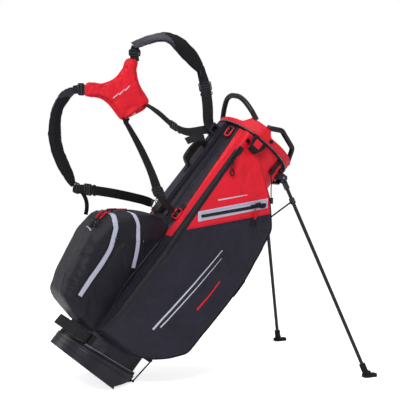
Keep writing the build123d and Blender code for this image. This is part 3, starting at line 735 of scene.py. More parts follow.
def tube_skin():
    angles = [5 * k for k in range(72)]
    low = [max(51.0, (15.5 + (TUBE_R * math.cos(math.radians(a)) - TIP_X) * SIN) / COS) for a in angles]
    verts = []
    for i in range(TUBE_ROWS + 1):
        for a, foot in zip(angles, low):
            z = foot + (TUBE_TOP - foot) * i / TUBE_ROWS
            soft = 0.6 + 0.7 * wave_at(math.cos(math.radians(a)) * 1.2, math.sin(math.radians(a)) * 1.2,
                z * 0.012, 4.0)
            end = min(1.0, (TUBE_TOP - z) / 60, (z - 40) / 60)
            verts.append(on_drum(a, TUBE_R - max(0.0, soft) * end - 0.1, z))
    for i in range(TUBE_ROWS, -1, -1):
        for a, foot in zip(angles, low):
            verts.append(on_drum(a, TUBE_R - 2.6, foot + (TUBE_TOP - foot) * i / TUBE_ROWS))
    mesh = new_mesh("bag_tube_skin", verts, band(2 * (TUBE_ROWS + 1), len(angles), over=True))
    bm = opened(mesh)
    for z in (RED_STRIPE_Z, RED_BAND_Z):
        cut(bm, bag(0, 0, z), turn(0, 0, 1))
    planes = []
    for s in (-1, 1):
        lower, upper = (on_drum(180 - s * a, 118, z) for a, z in STRIPE_ANGLES)
        normal = (upper - lower).cross(lower - bag(0, 0, STRIPE_ANGLES[0][1])).normalized()
        if normal.dot(on_drum(180, 118, 600) - lower) > 0:
            normal = -normal
        planes.append((lower, normal))
        cut(bm, lower, normal)
    bmesh.ops.recalc_face_normals(bm, faces=bm.faces)
    for f in bm.faces:
        c = f.calc_center_median()
        x = (c.x * 1000 + CENTRE_X) * COS - c.z * 1000 * SIN + TIP_X
        z = (c.x * 1000 + CENTRE_X) * SIN + c.z * 1000 * COS
        if math.hypot(x, c.y * 1000) < TUBE_R - 2.3:
            f.material_index = 2
            continue
        lower, normal = planes[0] if c.y < 0 else planes[1]
        red = (c - lower).dot(normal) > 0 and (z > RED_BAND_Z or (z > RED_STRIPE_Z and x < 0))
        f.material_index = 1 if red else 0
    put_back(bm, mesh)
    return add_object("bag_tube_skin", mesh, ["black_cloth", "red_cloth", "lining"], replaces=["bag_tube"],
        angle=50)


tube_obj = tube_skin()

BALL = ((92, -162), (120, -219), (171, -241), (242, -256), (306, -269), (372, -262), (398, -238), (440, -186),
    (474, -142))
BALL_CREASES = ((-110, 420, -96, 300, 2.2, 9), (-90, 300, -80, 160, 2.4, 9), (-190, 360, -176, 250, 1.6, 12),
    (-160, 404, -150, 340, 1.8, 9), (-140, 300, -110, 230, 1.8, 14), (-230, 300, -214, 200, 1.4, 14),
    (-150, 130, -190, 180, 2.2, 10), (-110, 110, -150, 160, 2.4, 10), (-90, 440, -130, 400, 2.0, 9))


def ball_section(z):
    """Ball pocket outline at a height: bag x, y, and what it lies on."""
    out = -table_value(BALL, z, 1, 8)
    ease = min(1.0, (z - 88) / 60, (478 - z) / 70)
    corner = max(10.0, min(44.0, 44 * ease, (out - 72) * 0.6))
    half = BALL_HALF - 1.0 - 9.0 * max(0.0, 1 - (z - 92) / 60) - 22.0 * max(0.0, (z - 400) / 74)
    start = math.sqrt(TUBE_R ** 2 - min(half, 117) ** 2) - 2
    path = []
    for k in range(14):
        path.append((-(start + (out - corner - start) * k / 13), -half, "side"))
    for k in range(1, 8):
        a = math.radians(90 * k / 7)
        path.append((-(out - corner + corner * math.sin(a)), -(half - corner + corner * math.cos(a)), "corner"))
    for k in range(1, 12):
        path.append((-out, -(half - corner) + (half - corner) * k / 11, "front"))
    mirror = [(x, -y, kind) for x, y, kind in reversed(path[:-1])]
    return path + mirror


def ball_pocket():
    """The ball pocket's slack cloth."""
    heights = [90, 92, 95, 100, 106] + [113 + 8.0 * k for k in range(43)] + [455, 461, 466, 470, 474, 477]
    verts = []
    for z in heights:
        level = min(max(z, 94), 472)
        section = ball_section(level)
        for x, y, kind in section:
            puff = 0.6 + 0.9 * wave_at(x * 0.014, y * 0.014, z * 0.012, 11.0) + 0.5 * wave_at(x * 0.04,
                y * 0.04, z * 0.03, 3.0)
            front = kind == "front"
            crease = (0.5 if front else 1) * crease_depth(BALL_CREASES, -210 if front else x, z)
            inward = max(0.0, min(6.5, puff + 1.4 * crease))
            crown = 4.0 * (1 - (abs(y) / 98) ** 2) if front else 0.0
            if kind == "side":
                y = y + math.copysign(inward, -y)
            else:
                x = x + inward + 4.0 - crown
            squeeze = 1.0
            if z < 110:
                squeeze = 0.15 + 0.85 * math.sin(math.radians(90 * (z - 90) / 20))
            if z > 452:
                squeeze = math.cos(math.radians(88 * (z - 452) / 25))
            r = math.hypot(x, y)
            if r > TUBE_R:
                keep = (TUBE_R - 1 + (r - TUBE_R + 1) * squeeze) / r
                x, y = x * keep, y * keep
            verts.append(bag(x, y, z))
    return build("ball_pocket_skin", verts, band(len(heights), len(section), around=False), ["ball_cloth"],
        replaces=["ball_pocket"], angle=60)


ball = ball_pocket()


def cuff():
    """Padded red cuff: a round-edged band whose top follows the sloping rim."""
    profile = [(118.6, 0.06), (118.6, 0.5), (118.8, 0.86), (119.6, 0.955), (121.4, 0.992), (123.4, 1.0),
        (125.4, 0.985), (127.0, 0.94), (127.8, 0.84), (127.9, 0.6), (127.6, 0.35), (127.0, 0.12), (126.0, 0.02),
        (123.0, 0.0), (119.6, 0.0)]
    verts = []
    steps = 240
    for i in range(steps):
        a = 2 * math.pi * i / steps
        off = a - math.radians(LOBE_ANGLE)
        beside = abs(126 * math.sin(off)) if math.cos(off) > 0 else 200
        lobe = min(LOBE_TOP, CUFF_LOW + (62 - beside) / 28 * (LOBE_TOP - CUFF_LOW))
        for r, t in profile:
            soft = 0.35 * wave_at(math.cos(a) * 6, math.sin(a) * 6, t * 2, 6.0) if r > 120 else 0.0
            x = r * math.cos(a)
            plain = RIM_Z + RIM_SLOPE * x
            top = plain + 3 * math.log(1 + math.exp(min(30, (lobe - plain) / 3)))
            top = min(top, LOBE_TOP) if lobe > plain else top
            z = CUFF_LOW + 0.2 + (top - CUFF_LOW - 0.2) * t
            verts.append(bag(x + soft * math.cos(a), (r + soft) * math.sin(a), z))
    build("top_cuff_skin", verts, band(steps, len(profile), over=True), ["red_cloth"], replaces=["top_cuff"],
        angle=50)


cuff()


def ring_path(radius, height, slope=0.0, start=0, stop=360, step=4):
    """Points round the bag at a height, which may rise towards the legs."""
    turned = [math.radians(a) for a in range(start, stop + 1, step)]
    return [bag(radius * math.cos(a), radius * math.sin(a), height + slope * radius * math.cos(a))
        for a in turned]


tube("cuff_piping_roll", ring_path(125.6, 837.0, stop=356), 0.0031, "piping", sides=12, closed=True,
    replaces=["cuff_piping"])
# A thin light ring on the cuff piping: painted highlight.
tube("cuff_piping_highlight", ring_path(128.6, 838.4, stop=356), 0.0006, "edge_line", sides=8, closed=True)
tube("cuff_piping_seat", ring_path(122.0, 835.8, stop=356), 0.0030, "piping", sides=10, closed=True)


def bow(name, node, centre, half_turn, outward, rise, feet, shape):
    """A round handle that stands out and up from the cuff between two feet."""
    mid = math.radians(centre)
    out, side = Vector((math.cos(mid), math.sin(mid), 0)), Vector((-math.sin(mid), math.cos(mid), 0))
    chord, base = 122.5 * math.sin(math.radians(half_turn)), 122.5 * math.cos(math.radians(half_turn))
    route = []
    for u, v in shape:
        foot = feet[0] if u < 0 else feet[1]
        p = out * (base + outward * v) + side * (chord * u)
        route.append(bag(p.x, p.y, foot + (RIM_Z + rise - foot) * v))
    path = [Vector(p) for p in spline(route, 6)]
    tube(name, path, 0.0080, "plastic", sides=14, replaces=[node])
    for k, (a, b) in enumerate(((path[0], path[3]), (path[-1], path[-4]))):
        down = (a - b).normalized()
        tube(f"{name}_foot_{k}", [a + down * 0.004, a - down * 0.004, a - down * 0.010],
            [0.0086, 0.0084, 0.0074], "plastic", sides=14)


bow("rear_handle_bow", "lift_handle_rear", 187.0, 43.0, 62.0, 54.0, (856.0, 881.5),
    ((-1, 0), (-0.95, 0.2), (-0.82, 0.52), (-0.6, 0.84), (-0.3, 0.99), (0, 1.0), (0.3, 0.96), (0.6, 0.76),
    (0.84, 0.42), (0.96, 0.15), (1, 0)))


# ---- trim on the side pockets -----------------------------------------------------------
def face_y(z):
    """How far a side pocket's face stands from the middle at a height."""
    return 166 - max(0.0, z - 380) * 40 / 410


def on_face(sign, x, z, proud=0.0):
    """A point on a side pocket's face, or proud of it."""
    return bag(x, sign * (face_y(z) + proud), z)


def on_faces(sign, points):
    return [on_face(sign, x, z, 1) for x, z in points]


def side_trim(sign, name, skin):
    """Piping, seams and both zips of one side pocket."""
    edge = []
    for z in (104, 112, 124, 144, 166, 190, 210, 260, 320, 380, 440, 500, 560, 610, 650, 680, 700, 725, 750,
        775, 800, 820, 829):
        high, out = table_value(SIDE, z, 1), table_value(SIDE, z, 2, 4)
        edge.append(bag(high - 5, sign * (out - 5), z))
    cording(f"pocket_piping_{name}", skin, edge[:18], 0.0019, "piping", lift=0.001, per=4)
    cording(f"pocket_piping_red_{name}", skin, edge[17:], 0.0017, "red_cloth", lift=0.001, per=4)
    stitches(f"pocket_piping_seam_{name}", skin, [[p + turn(-9, -sign * 1.0, 0) * 0.007 for p in edge]],
        "thread", per=4)
    base = [bag(x, sign * out, z) for x, out, z in ((-82, 128, 103), (-40, 133, 101), (0, 133, 101),
        (16, 130, 103))]
    cording(f"pocket_foot_piping_{name}", skin, base, 0.0017, "piping", lift=0.0006)
    border = [on_face(sign, x, COLOUR_Z + COLOUR_SLOPE * x) for x in (-74, -30, 20, 70, 110, 128)]
    cording(f"colour_seam_{name}", skin, border, 0.0009, "side_cloth", lift=0.0)
    above = [p + turn(-COLOUR_SLOPE, 0, 1) * 0.004 for p in border]
    below = [p - turn(-COLOUR_SLOPE, 0, 1) * 0.004 for p in border]
    stitches(f"colour_seam_stitch_red_{name}", skin, [above], "red_thread")
    stitches(f"colour_seam_stitch_{name}", skin, [below], "thread")
    # long zip down the rear corner
    zip_run = [on_face(sign, -75.0, z) for z in (752, 690, 620, 540, 460, 385)]
    applique(f"apparel_zip_tape_{name}", skin, zip_run, 0.0086, 0.0007, "zip_tape")
    zip_coil(f"apparel_zip_coil_{name}", skin, zip_run, 1, 0.0013)
    for shift, tag in ((-0.0050, "a"), (0.0050, "b")):
        cording(f"apparel_zip_lip_{tag}_{name}", skin, [p + turn(1, 0, 0) * shift for p in zip_run], 0.0011,
            "side_cloth", lift=0.0004)
    patch(f"apparel_garage_{name}", skin, on_faces(sign, ((-86, 746), (-65, 746), (-62, 776), (-83, 778))),
        0.0034, "piping", cells=(10, 14), rounding=0.5, slot="black_plastic")
    patch(f"apparel_stop_{name}", skin, on_faces(sign, ((-82, 372), (-68, 372), (-68, 386), (-82, 386))),
        0.0016, "zip_tape", cells=(8, 8), rounding=0.4)
    fold = [bag(-83, sign * (166 - 5), z) for z in (360, 300, 240, 180, 130)]
    cording(f"rear_fold_{name}", skin, fold, 0.0013, "side_cloth", lift=0.0002)
    # framed zip
    corners = on_faces(sign, ((-69.4, 539), (90.5, 715.4), (106.7, 690.7), (-51.4, 516.2)))
    frame_obj = patch(f"framed_zip_border_{name}", skin, corners, 0.0017, "tape", cells=(44, 7))
    slot_path = on_faces(sign, ((-50.8, 537), (20, 613), (92, 690)))
    frame_skin = Skin(frame_obj)
    applique(f"framed_zip_slot_{name}", frame_skin, slot_path, 0.0092, 0.0006, "zip_tape", step=0.004)
    across, along = turn(0.78, 0, -0.62) * 0.0044, turn(0.68, 0, 0.73) * 0.0044
    for p, tag in ((slot_path[0], "low"), (slot_path[2], "high")):
        patch(f"framed_zip_cap_{tag}_{name}", frame_skin, [p - across - along, p + across - along,
            p + across + along, p - across + along], 0.0011, "piping", cells=(8, 8), rounding=0.9,
            slot="black_plastic")
    zip_coil(f"framed_zip_coil_{name}", frame_skin, slot_path, 2, 0.0014)
    garage = on_faces(sign, ((77, 684), (93, 700), (102, 688), (86, 672)))
    patch(f"framed_zip_garage_{name}", frame_skin, garage, 0.0032, "piping", cells=(12, 8), rounding=0.6,
        slot="black_plastic")
    inset = on_faces(sign, ((-62, 538), (89, 707), (99, 692), (-53, 524), (-62, 538)))
    stitches(f"framed_zip_stitch_{name}", frame_skin, [[a, b] for a, b in zip(inset, inset[1:])], "thread",
        lift=0.0002, radius=0.0004)
    return frame_obj


skin_right, skin_left = Skin(right_pocket), Skin(left_pocket)
frame_right = side_trim(-1, "right", skin_right)
side_trim(1, "left", skin_left)
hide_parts("zip_frame")

# plain motifs where the sides carry print
for sign, name, skin in ((-1, "right", skin_right), (1, "left", skin_left)):
    for k, (start, stop, width) in enumerate((((30, 196), (62, 500), 0.0062), ((46, 214), (74, 480), 0.0042))):
        path = on_faces(sign, [(start[0] + (stop[0] - start[0]) * t, start[1] + (stop[1] - start[1]) * t)
            for t in (0, 0.5, 1)])
        applique(f"side_stripe_{k}_{name}", skin, path, (width, width * 0.35), 0.0005, "silver_print")
    path = on_faces(sign, ((104, 318), (108, 370), (110, 424)))
    applique(f"side_stripe_red_{name}", skin, path, (0.0056, 0.003), 0.0005, "red_cloth")
    path = on_faces(sign, ((-38, 606), (-4, 643), (28, 678)))
    applique(f"small_stripe_{name}", skin, path, (0.0042, 0.0020), 0.0005, "silver_print")

# towel loop: a folded flap of webbing under the cuff, with a plain red patch
def towel_flap():
    outline = ((-126.6, 834), (-130, 834.4), (-137.5, 830), (-140.4, 818), (-140.8, 804), (-138.6, 790),
        (-133, 785.4), (-127.4, 786))
    verts, uvs = [], []
    rows = spline(outline, 5)
    for i, (y, z) in enumerate(rows):
        t = (z - 785) / 49
        half = 13 + 12 * min(1.0, t * 1.7) - 3 * max(0.0, t - 0.7) / 0.3
        for k in range(9):
            u = k / 4 - 1
            verts.append(bag(-43 + u * half, y, z))
            uvs.append((u * 0.019, i * 0.003))
    flap = build("towel_loop_flap", verts, band(len(rows), 9, around=False), "webbing", uvs=uvs,
        replaces=["towel_loop"])
    solid = flap.modifiers.new("solid", "SOLIDIFY")
    solid.thickness, solid.offset = 0.0022, 0.0
    label = [bag(x, -150, z) for x, z in ((-55, 800), (-31, 800), (-31, 825), (-55, 825))]
    patch("towel_loop_label", Skin(flap), label, 0.0024, "red_cloth", cells=(8, 8))


towel_flap()

# ---- tube, spine and ring trim ----------------------------------------------------------
skin_tube = Skin(tube_obj)
for s, name in ((-1, "right"), (1, "left")):
    stripe_edge = [on_drum(180 - s * (47 - 9.6 * k / 5), 118, 436 + 74 * k) for k in range(6)]
    cording(f"stripe_piping_{name}", skin_tube, stripe_edge, 0.0009, "piping", lift=0.0003)
    for k, (angle, low, high) in enumerate(((24, 488, 806), (33, 486, 806))):
        path = [on_drum(180 - s * (angle + 1.5 * math.sin(j * 1.9)), 118, low + (high - low) * j / 6)
            for j in range(7)]
        if k:
            stitches(f"spine_panel_stitch_{name}", skin_tube, [path], "thread")
        else:
            applique(f"spine_panel_{name}", skin_tube, path, 0.016, 0.0016, "satin_plastic")
            cording(f"spine_panel_edge_{name}", skin_tube, [p + turn(0, s, 0) * 0.008 for p in path], 0.0009,
                "thread", lift=0.0012)

# strap rings: how far out, up and sideways each corner of the rounded rectangle lies
RING_R = 13.5
RING_SHAPE = ((1, -15.5, -5), (1, -15.5, 5), (1, -12, 8.5), (1.4, 0, 9.2), (1, 12, 8.5), (0.6, 15.5, 5),
    (0.6, 15.5, -5), (1, 12, -8.5), (1.4, 0, -9.2), (1, -12, -8.5))
for k, (angle, z) in enumerate(((222, 508), (138, 508), (208, 808))):
    top = 1.0 if k < 2 else 0.72
    tab = ((119.3, 34 * top), (119.9, 22 * top), (123.2, RING_R + 2), (129.0, RING_R), (125.5, RING_R - 4.4),
        (120.4, RING_R - 2))
    a = math.radians(angle)
    wide = turn(-math.sin(a), math.cos(a), 0)
    ribbon(f"ring_tab_{k}", [(on_drum(angle, r, z + up), wide, 0.015) for r, up in tab], 0.0016, "webbing", per=6)
    loop = [on_drum(angle, 121.6 + 3.0 * u, z) + turn(0, 0, 1) * (v / 1000) + wide * (w / 1000)
        for u, v, w in RING_SHAPE]
    tube(f"ring_loop_{k}", spline(loop, 4, True), 0.0023, "red_plastic", sides=10, closed=True,
        replaces=["strap_rings"] if k == 0 else ())
    keeper = [(on_drum(angle, r, z - RING_R + up), wide, 0.013) for r, up in ((120.0, 8), (121.6, 2), (120.2, -8))]
    ribbon(f"ring_keeper_{k}", keeper, 0.0014, "webbing")

# ---- ball pocket trim -------------------------------------------------------------------
skin_ball = Skin(ball)
ZIP_1 = ((-255, 30, 392), (-248, 52, 388), (-235, 71, 380), (-219, 86, 362), (-207, 97, 338), (-192, 99, 303),
    (-186, 99, 257), (-184, 99, 200), (-178, 98, 145))
ZIP_2 = ((-206, 50, 424), (-192, 68, 418), (-171, 82, 404), (-153, 91, 386), (-134, 97, 361), (-117, 99, 331),
    (-102, 98, 300))
for s, name in ((-1, "right"), (1, "left")):
    for k, (route, width) in enumerate(((ZIP_1, 0.0170), (ZIP_2, 0.0145))):
        path = [bag(x, s * y, z) for x, y, z in route]
        applique(f"ball_zip_tape_{k}_{name}", skin_ball, path, width, 0.0009, "tape", step=0.005)
        spots = lay(skin_ball, spline(path, 6), 0.005)
        points = [p for p, _ in spots]
        for shift, tag, size in ((-0.5, "inner", 0.0017), (0.5, "outer", 0.0013)):
            rail = []
            for i, (p, n) in enumerate(spots):
                q, m = skin_ball.at(p + tangent(points, i).cross(n).normalized() * width * shift)
                rail.append(q + m * 0.0008)
            tube(f"ball_zip_lip_{k}_{tag}_{name}", rail, size, "piping", sides=8)
        end, n = spots[-1]
        down = (spots[-1][0] - spots[-3][0]).normalized()
        side = down.cross(n).normalized() * width * 0.5
        patch(f"ball_zip_stop_{k}_{name}", skin_ball, [end - side - down * 0.003, end + side - down * 0.003,
            end + side + down * 0.008, end - side + down * 0.008], 0.0018, "piping", cells=(8, 6), rounding=0.3,
            slot="black_plastic")
    seam = [bag(x, s * 98, z) for x, z in ((-197, 318), (-186, 333), (-171, 346), (-140, 374), (-112, 398),
        (-92, 413))]
    cording(f"ball_seam_{name}", skin_ball, seam, 0.0009, "ball_cloth", lift=0.0001)
    stitches(f"ball_seam_stitch_{name}", skin_ball, [[p - turn(0, 0, 1) * 0.004 for p in seam]], "thread")
    join = [bag(x, s * y, z) for x, y, z in ((-71, 96, 108), (-82, 97, 180), (-92, 97, 269), (-91, 97, 350),
        (-88, 97, 425))]
    cording(f"ball_join_{name}", skin_ball, join, 0.0018, "piping", lift=0.0006)
mark = [bag(-262, -66, 312), bag(-266, -50, 316), bag(-268, -20, 320)]
applique("ball_stripe", skin_ball, mark, (0.0036, 0.0018), 0.0005, "silver_print")

BALL_SLIDERS = (("slider_ball_front", (-204, -98, 340), (0.25, 0, 1), 0.0088),
    ("slider_ball_rear", (-134, -98, 372), (0.62, 0, -0.78), 0.0072))
for k, (node, where, heading, beside) in enumerate(BALL_SLIDERS):
    spot, n = skin_ball.at(bag(*where), 0.0034)
    ahead = turn(*heading)
    side = n.cross(ahead).normalized()
    if side.dot(turn(1, 0, 0)) < 0:
        side = -side
    spot = spot + side * beside      # off the tape, as the CAD solid is not
    ring = [spot + ahead * u + side * v for u, v in ((-0.006, -0.002), (-0.006, 0.002), (0.004, 0.0034),
        (0.006, 0.0022), (0.006, -0.0022), (0.004, -0.0034))]
    tube(f"ball_slider_body_{k}", ring, 0.0017, "gun_metal", sides=8, closed=True, body=node, replaces=[node])
    tube(f"ball_slider_bridge_{k}", [spot - ahead * 0.005 + n * 0.001, spot + n * 0.0034,
        spot + ahead * 0.005 + n * 0.001], 0.0013, "gun_metal", sides=8, body=node)

# ---- base -------------------------------------------------------------------------------
def collar():
    """The sewn binding round the top of the base."""
    profile = ((118.5, 53.1), (123.4, 53.1), (125.0, 54.4), (125.4, 57.2), (124.9, 60.2), (123.2, 62.0),
        (120.2, 62.4), (118.5, 61.4))
    verts = [bag(r * math.cos(a), r * math.sin(a), z + 0.1 * r * math.cos(a) + 0.25)
        for a in (2 * math.pi * i / 120 for i in range(120)) for r, z in profile]
    build("base_collar_binding", verts, band(120, len(profile), over=True), "piping", replaces=["base_collar"])


collar()
# A thin light ring on the base binding: painted highlight.
tube("base_collar_highlight", ring_path(124.6, 61.9, 0.1, stop=356), 0.0007, "edge_line", sides=8, closed=True)
stations = [(on_drum(232, 117.5, 70), turn(0, 0, 1), 0.032), (on_drum(229, 121.5, 69), turn(0, 0, 1), 0.032)]
for k in range(15):
    a = math.radians(248 - 136 * k / 14)
    sag = 3.0 * math.sin(math.pi * k / 14)
    stations.append((bag(-47 + 107 * math.cos(a), 107 * math.sin(a), 69 - sag), turn(0.05, 0, 1), 0.032))
stations += [(on_drum(131, 121.5, 69), turn(0, 0, 1), 0.032), (on_drum(128, 117.5, 70), turn(0, 0, 1), 0.032)]
ribbon("base_handle_strap", stations, 0.0032, "webbing", per=4, replaces=["base_handle"])
for s, name in ((-1, "right"), (1, "left")):
    stations = [(on_drum(180 - s * angle, r, 69), turn(0, 0, 1), w)
        for angle, r, w in ((46, 118.6, 0.036), (50, 120.6, 0.037), (56, 119.9, 0.036))]
    ribbon(f"base_handle_tab_{name}", stations, 0.0018, "webbing")

# ---- tabs -------------------------------------------------------------------------------
a = math.radians(-60)
wide = turn(-math.sin(a), math.cos(a), 0)
CORD_TAB = ((-59, 119.4, 834, 0.02), (-59, 121.0, 822, 0.02), (-60, 121.8, 806, 0.019), (-60, 123.4, 792, 0.019),
    (-60, 122.6, 784.5, 0.019), (-60, 120.2, 785, 0.019), (-60, 118.8, 796, 0.019))
ribbon("cord_tab_strap", [(on_drum(angle, r, z), wide, w) for angle, r, z, w in CORD_TAB], 0.0018, "webbing",
    per=6, replaces=["cord_tab"])
POCKET_TAB = ((184.1, 417), (187.2, 425), (187.6, 472), (185.1, 480))
ribbon("pocket_tab_strap", [(bag(x, -125, z), turn(0, 1, 0), 0.026) for x, z in POCKET_TAB], 0.0022, "webbing",
    replaces=["pocket_tab"])


def divider_cloth():
    """Two crossed sheets down the tube, each a little slack."""
    cols, rows = 30, 28
    parts = []
    for turned in (False, True):
        verts = []
        for layer in (-0.8, 0.8):
            for i in range(rows + 1):
                for j in range(cols + 1):
                    u, z = -112 + 224 * j / cols, 112 + 700 * i / rows
                    fade = math.sin(math.pi * i / rows) * min(1, abs(u) / 20)
                    slack = 2.2 * math.sin(u * 0.09 + z * 0.013) * fade
                    verts.append(bag(layer - slack, u, z) if turned else bag(u, layer + slack, z))
        parts.append((verts, slab(rows, cols)))
    build("divider_cloth", *gather(parts), "lining", replaces=["divider_sleeve"])


divider_cloth()

# ---- harness ----------------------------------------------------------------------------
UPPER_PAD = (((100, -4, 976), (-0.01, 0.8, 0.6)), ((146, -8, 997), (0.17, 0.89, 0.43)),
    ((198, -6, 1008), (0.37, 0.78, 0.5)), ((250, 4, 989), (0.68, 0.32, 0.66)),
    ((292, 10, 953), (0.81, 0.11, 0.57)), ((324, 12, 914), (0.84, 0.31, 0.44)))
LOWER_PAD = (((-72, 2, 850), (0.45, 0.85, -0.2)), ((-104, 6, 826), (0.55, 0.75, -0.25)),
    ((-127, 10, 778), (0.7, 0.72, 0)), ((-132, 14, 716), (0.84, 0.54, 0)), ((-116, 20, 658), (0.85, 0.5, 0)),
    ((-88, 26, 604), (0.8, 0.6, 0.1)), ((-70, 30, 572), (0.6, 0.8, 0)))


SIM_FRAMES = 20


def evaluated_mesh(obj):
    return bpy.data.meshes.new_from_object(obj.evaluated_get(bpy.context.evaluated_depsgraph_get()))


def puff(obj, voxel=0.005, pressure=4.0, cap=0.007):
    """Cloth under pressure: the shape is remeshed, blown up a little, and the result kept."""
    remesh = obj.modifiers.new("remesh", "REMESH")
    remesh.mode = "VOXEL"
    remesh.voxel_size = voxel
    mesh = evaluated_mesh(obj)
    obj.modifiers.clear()
    obj.data = mesh
    rest = [v.co.copy() for v in mesh.vertices]
    cloth = obj.modifiers.new("cloth", "CLOTH")
    for key, value in (("quality", 5), ("mass", 0.25), ("tension_stiffness", 18), ("compression_stiffness", 18),
                       ("shear_stiffness", 8), ("bending_stiffness", 0.4), ("use_pressure", True),
                       ("uniform_pressure_force", pressure)):
        setattr(cloth.settings, key, value)
    cloth.settings.effector_weights.gravity = 0.0
    cloth.point_cache.frame_start = 1
    cloth.point_cache.frame_end = SIM_FRAMES
    for f in range(1, SIM_FRAMES + 1):
        scene.frame_set(f)
    deps = bpy.context.evaluated_depsgraph_get()
    moved = [v.co.copy() for v in obj.evaluated_get(deps).data.vertices]
    obj.modifiers.clear()
    scene.frame_set(1)
    for v, a, b in zip(mesh.vertices, rest, moved):
        shift = b - a
        if shift.length > cap:
            shift = shift.normalized() * cap
        v.co = a + shift
    mesh.update()
    sub = obj.modifiers.new("subdivision", "SUBSURF")
    sub.levels = sub.render_levels = 1
    smooth = evaluated_mesh(obj)
    obj.modifiers.clear()
    obj.data = smooth


PAD_HALF = 0.0046           # half a shoulder pad's thickness before it is blown up


def pad_mesh(stations, widths):
    """A lens-shaped strip through the stations, and its (point, broad, normal, width) guide."""
    rows = spline([(*flo(*p), *d, w / 1000) for (p, d), w in zip(stations, widths)], 7)
    points = [Vector(r[:3]) for r in rows]
    profile = [(-1, 0), (-0.94, 0.55), (-0.8, 0.9), (-0.4, 1), (0, 1), (0.4, 1), (0.8, 0.9), (0.94, 0.55)]
    loop = profile + [(1, 0)] + [(u, -v) for u, v in reversed(profile[1:])]
    verts, guide = [], []
    for i, (row, p) in enumerate(zip(rows, points)):
        ahead = tangent(points, i)
        broad = square(Vector(row[3:6]), ahead)
        normal = ahead.cross(broad)
        guide.append((p, broad, normal, row[6]))
        thin = min(1.0, 0.55 + 0.25 * min(i, len(rows) - 1 - i))
        for u, v in loop:
            verts.append(p + broad * u * row[6] / 2 + normal * v * PAD_HALF * thin)
    return verts, capped(len(rows), len(loop)), guide


def shoulder_pad(name, node, stations, widths, swap_at):
    """A padded strip with cloth on one side and mesh on the other; they change sides at swap_at."""
    verts, faces, guide = pad_mesh(stations, [w - 4 for w in widths])
    obj = bpy.data.objects.new(name, new_mesh(name, verts, faces))
    scene.collection.objects.link(obj)
    puff(obj)
    mesh = obj.data
    for m in ("grey_pad", "mesh_pad"):
        mesh.materials.append(M[m])
    for f in mesh.polygons:
        best = min(range(len(guide)), key=lambda i: (guide[i][0] - f.center).length_squared)
        p, broad, normal, width = guide[best]
        side = f.normal.dot(normal)
        across = (f.center - p).dot(broad) / (width / 2)
        share = best / (len(guide) - 1) + 0.10 * across
        outer = side > 0 if share < swap_at else side < 0
        f.material_index = 0 if outer else 1
    mesh.shade_smooth()
    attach(obj, "root")
    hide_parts(node)
    skin = Skin(obj)
    for s, tag in ((-1, "near"), (1, "far")):
        path = [skin.at(p + broad * s * width * 0.6)[0] for p, broad, normal, width in guide]
        tube(f"{name}_piping_{tag}", even(path, 0.006), 0.0017, "piping", sides=8, slot="black_pad")
        rows = [[p + broad * s * (width / 2 - 0.006) + normal * out for p, broad, normal, width in guide[2:-2]]
            for out in (0.02, -0.02)]
        stitches(f"{name}_stitch_{tag}", skin, rows, "thread", per=2, slot="black_pad")


shoulder_pad("shoulder_pad_upper_puffed", "shoulder_pad_upper", UPPER_PAD, (40, 56, 60, 62, 58, 38), 0.46)
shoulder_pad("shoulder_pad_lower_puffed", "shoulder_pad_lower", LOWER_PAD, (40, 56, 62, 62, 60, 52, 38), 0.14)

PAD_OUTLINE = ((84, 950), (122, 948), (119, 902), (131, 864), (157, 818), (140, 790), (76, 756), (58, 760),
    (22, 800), (-6, 820), (-58, 826), (-50, 870), (2, 871), (40, 890), (68, 920))
BACK_CREASES = ((30, 884, 52, 850, 2.4, 6), (52, 902, 70, 862, 2.0, 6), (72, 924, 96, 884, 2.2, 7),
    (88, 934, 110, 905, 1.6, 6), (-20, 862, 4, 838, 1.8, 7), (6, 866, 18, 836, 1.8, 6),
    (116, 884, 92, 868, 1.6, 6), (144, 824, 118, 838, 2.0, 7), (30, 806, 52, 826, 1.8, 6),
    (-34, 846, 4, 848, 1.6, 8), (70, 772, 92, 800, 1.8, 7), (60, 790, 128, 812, 1.3, 6))


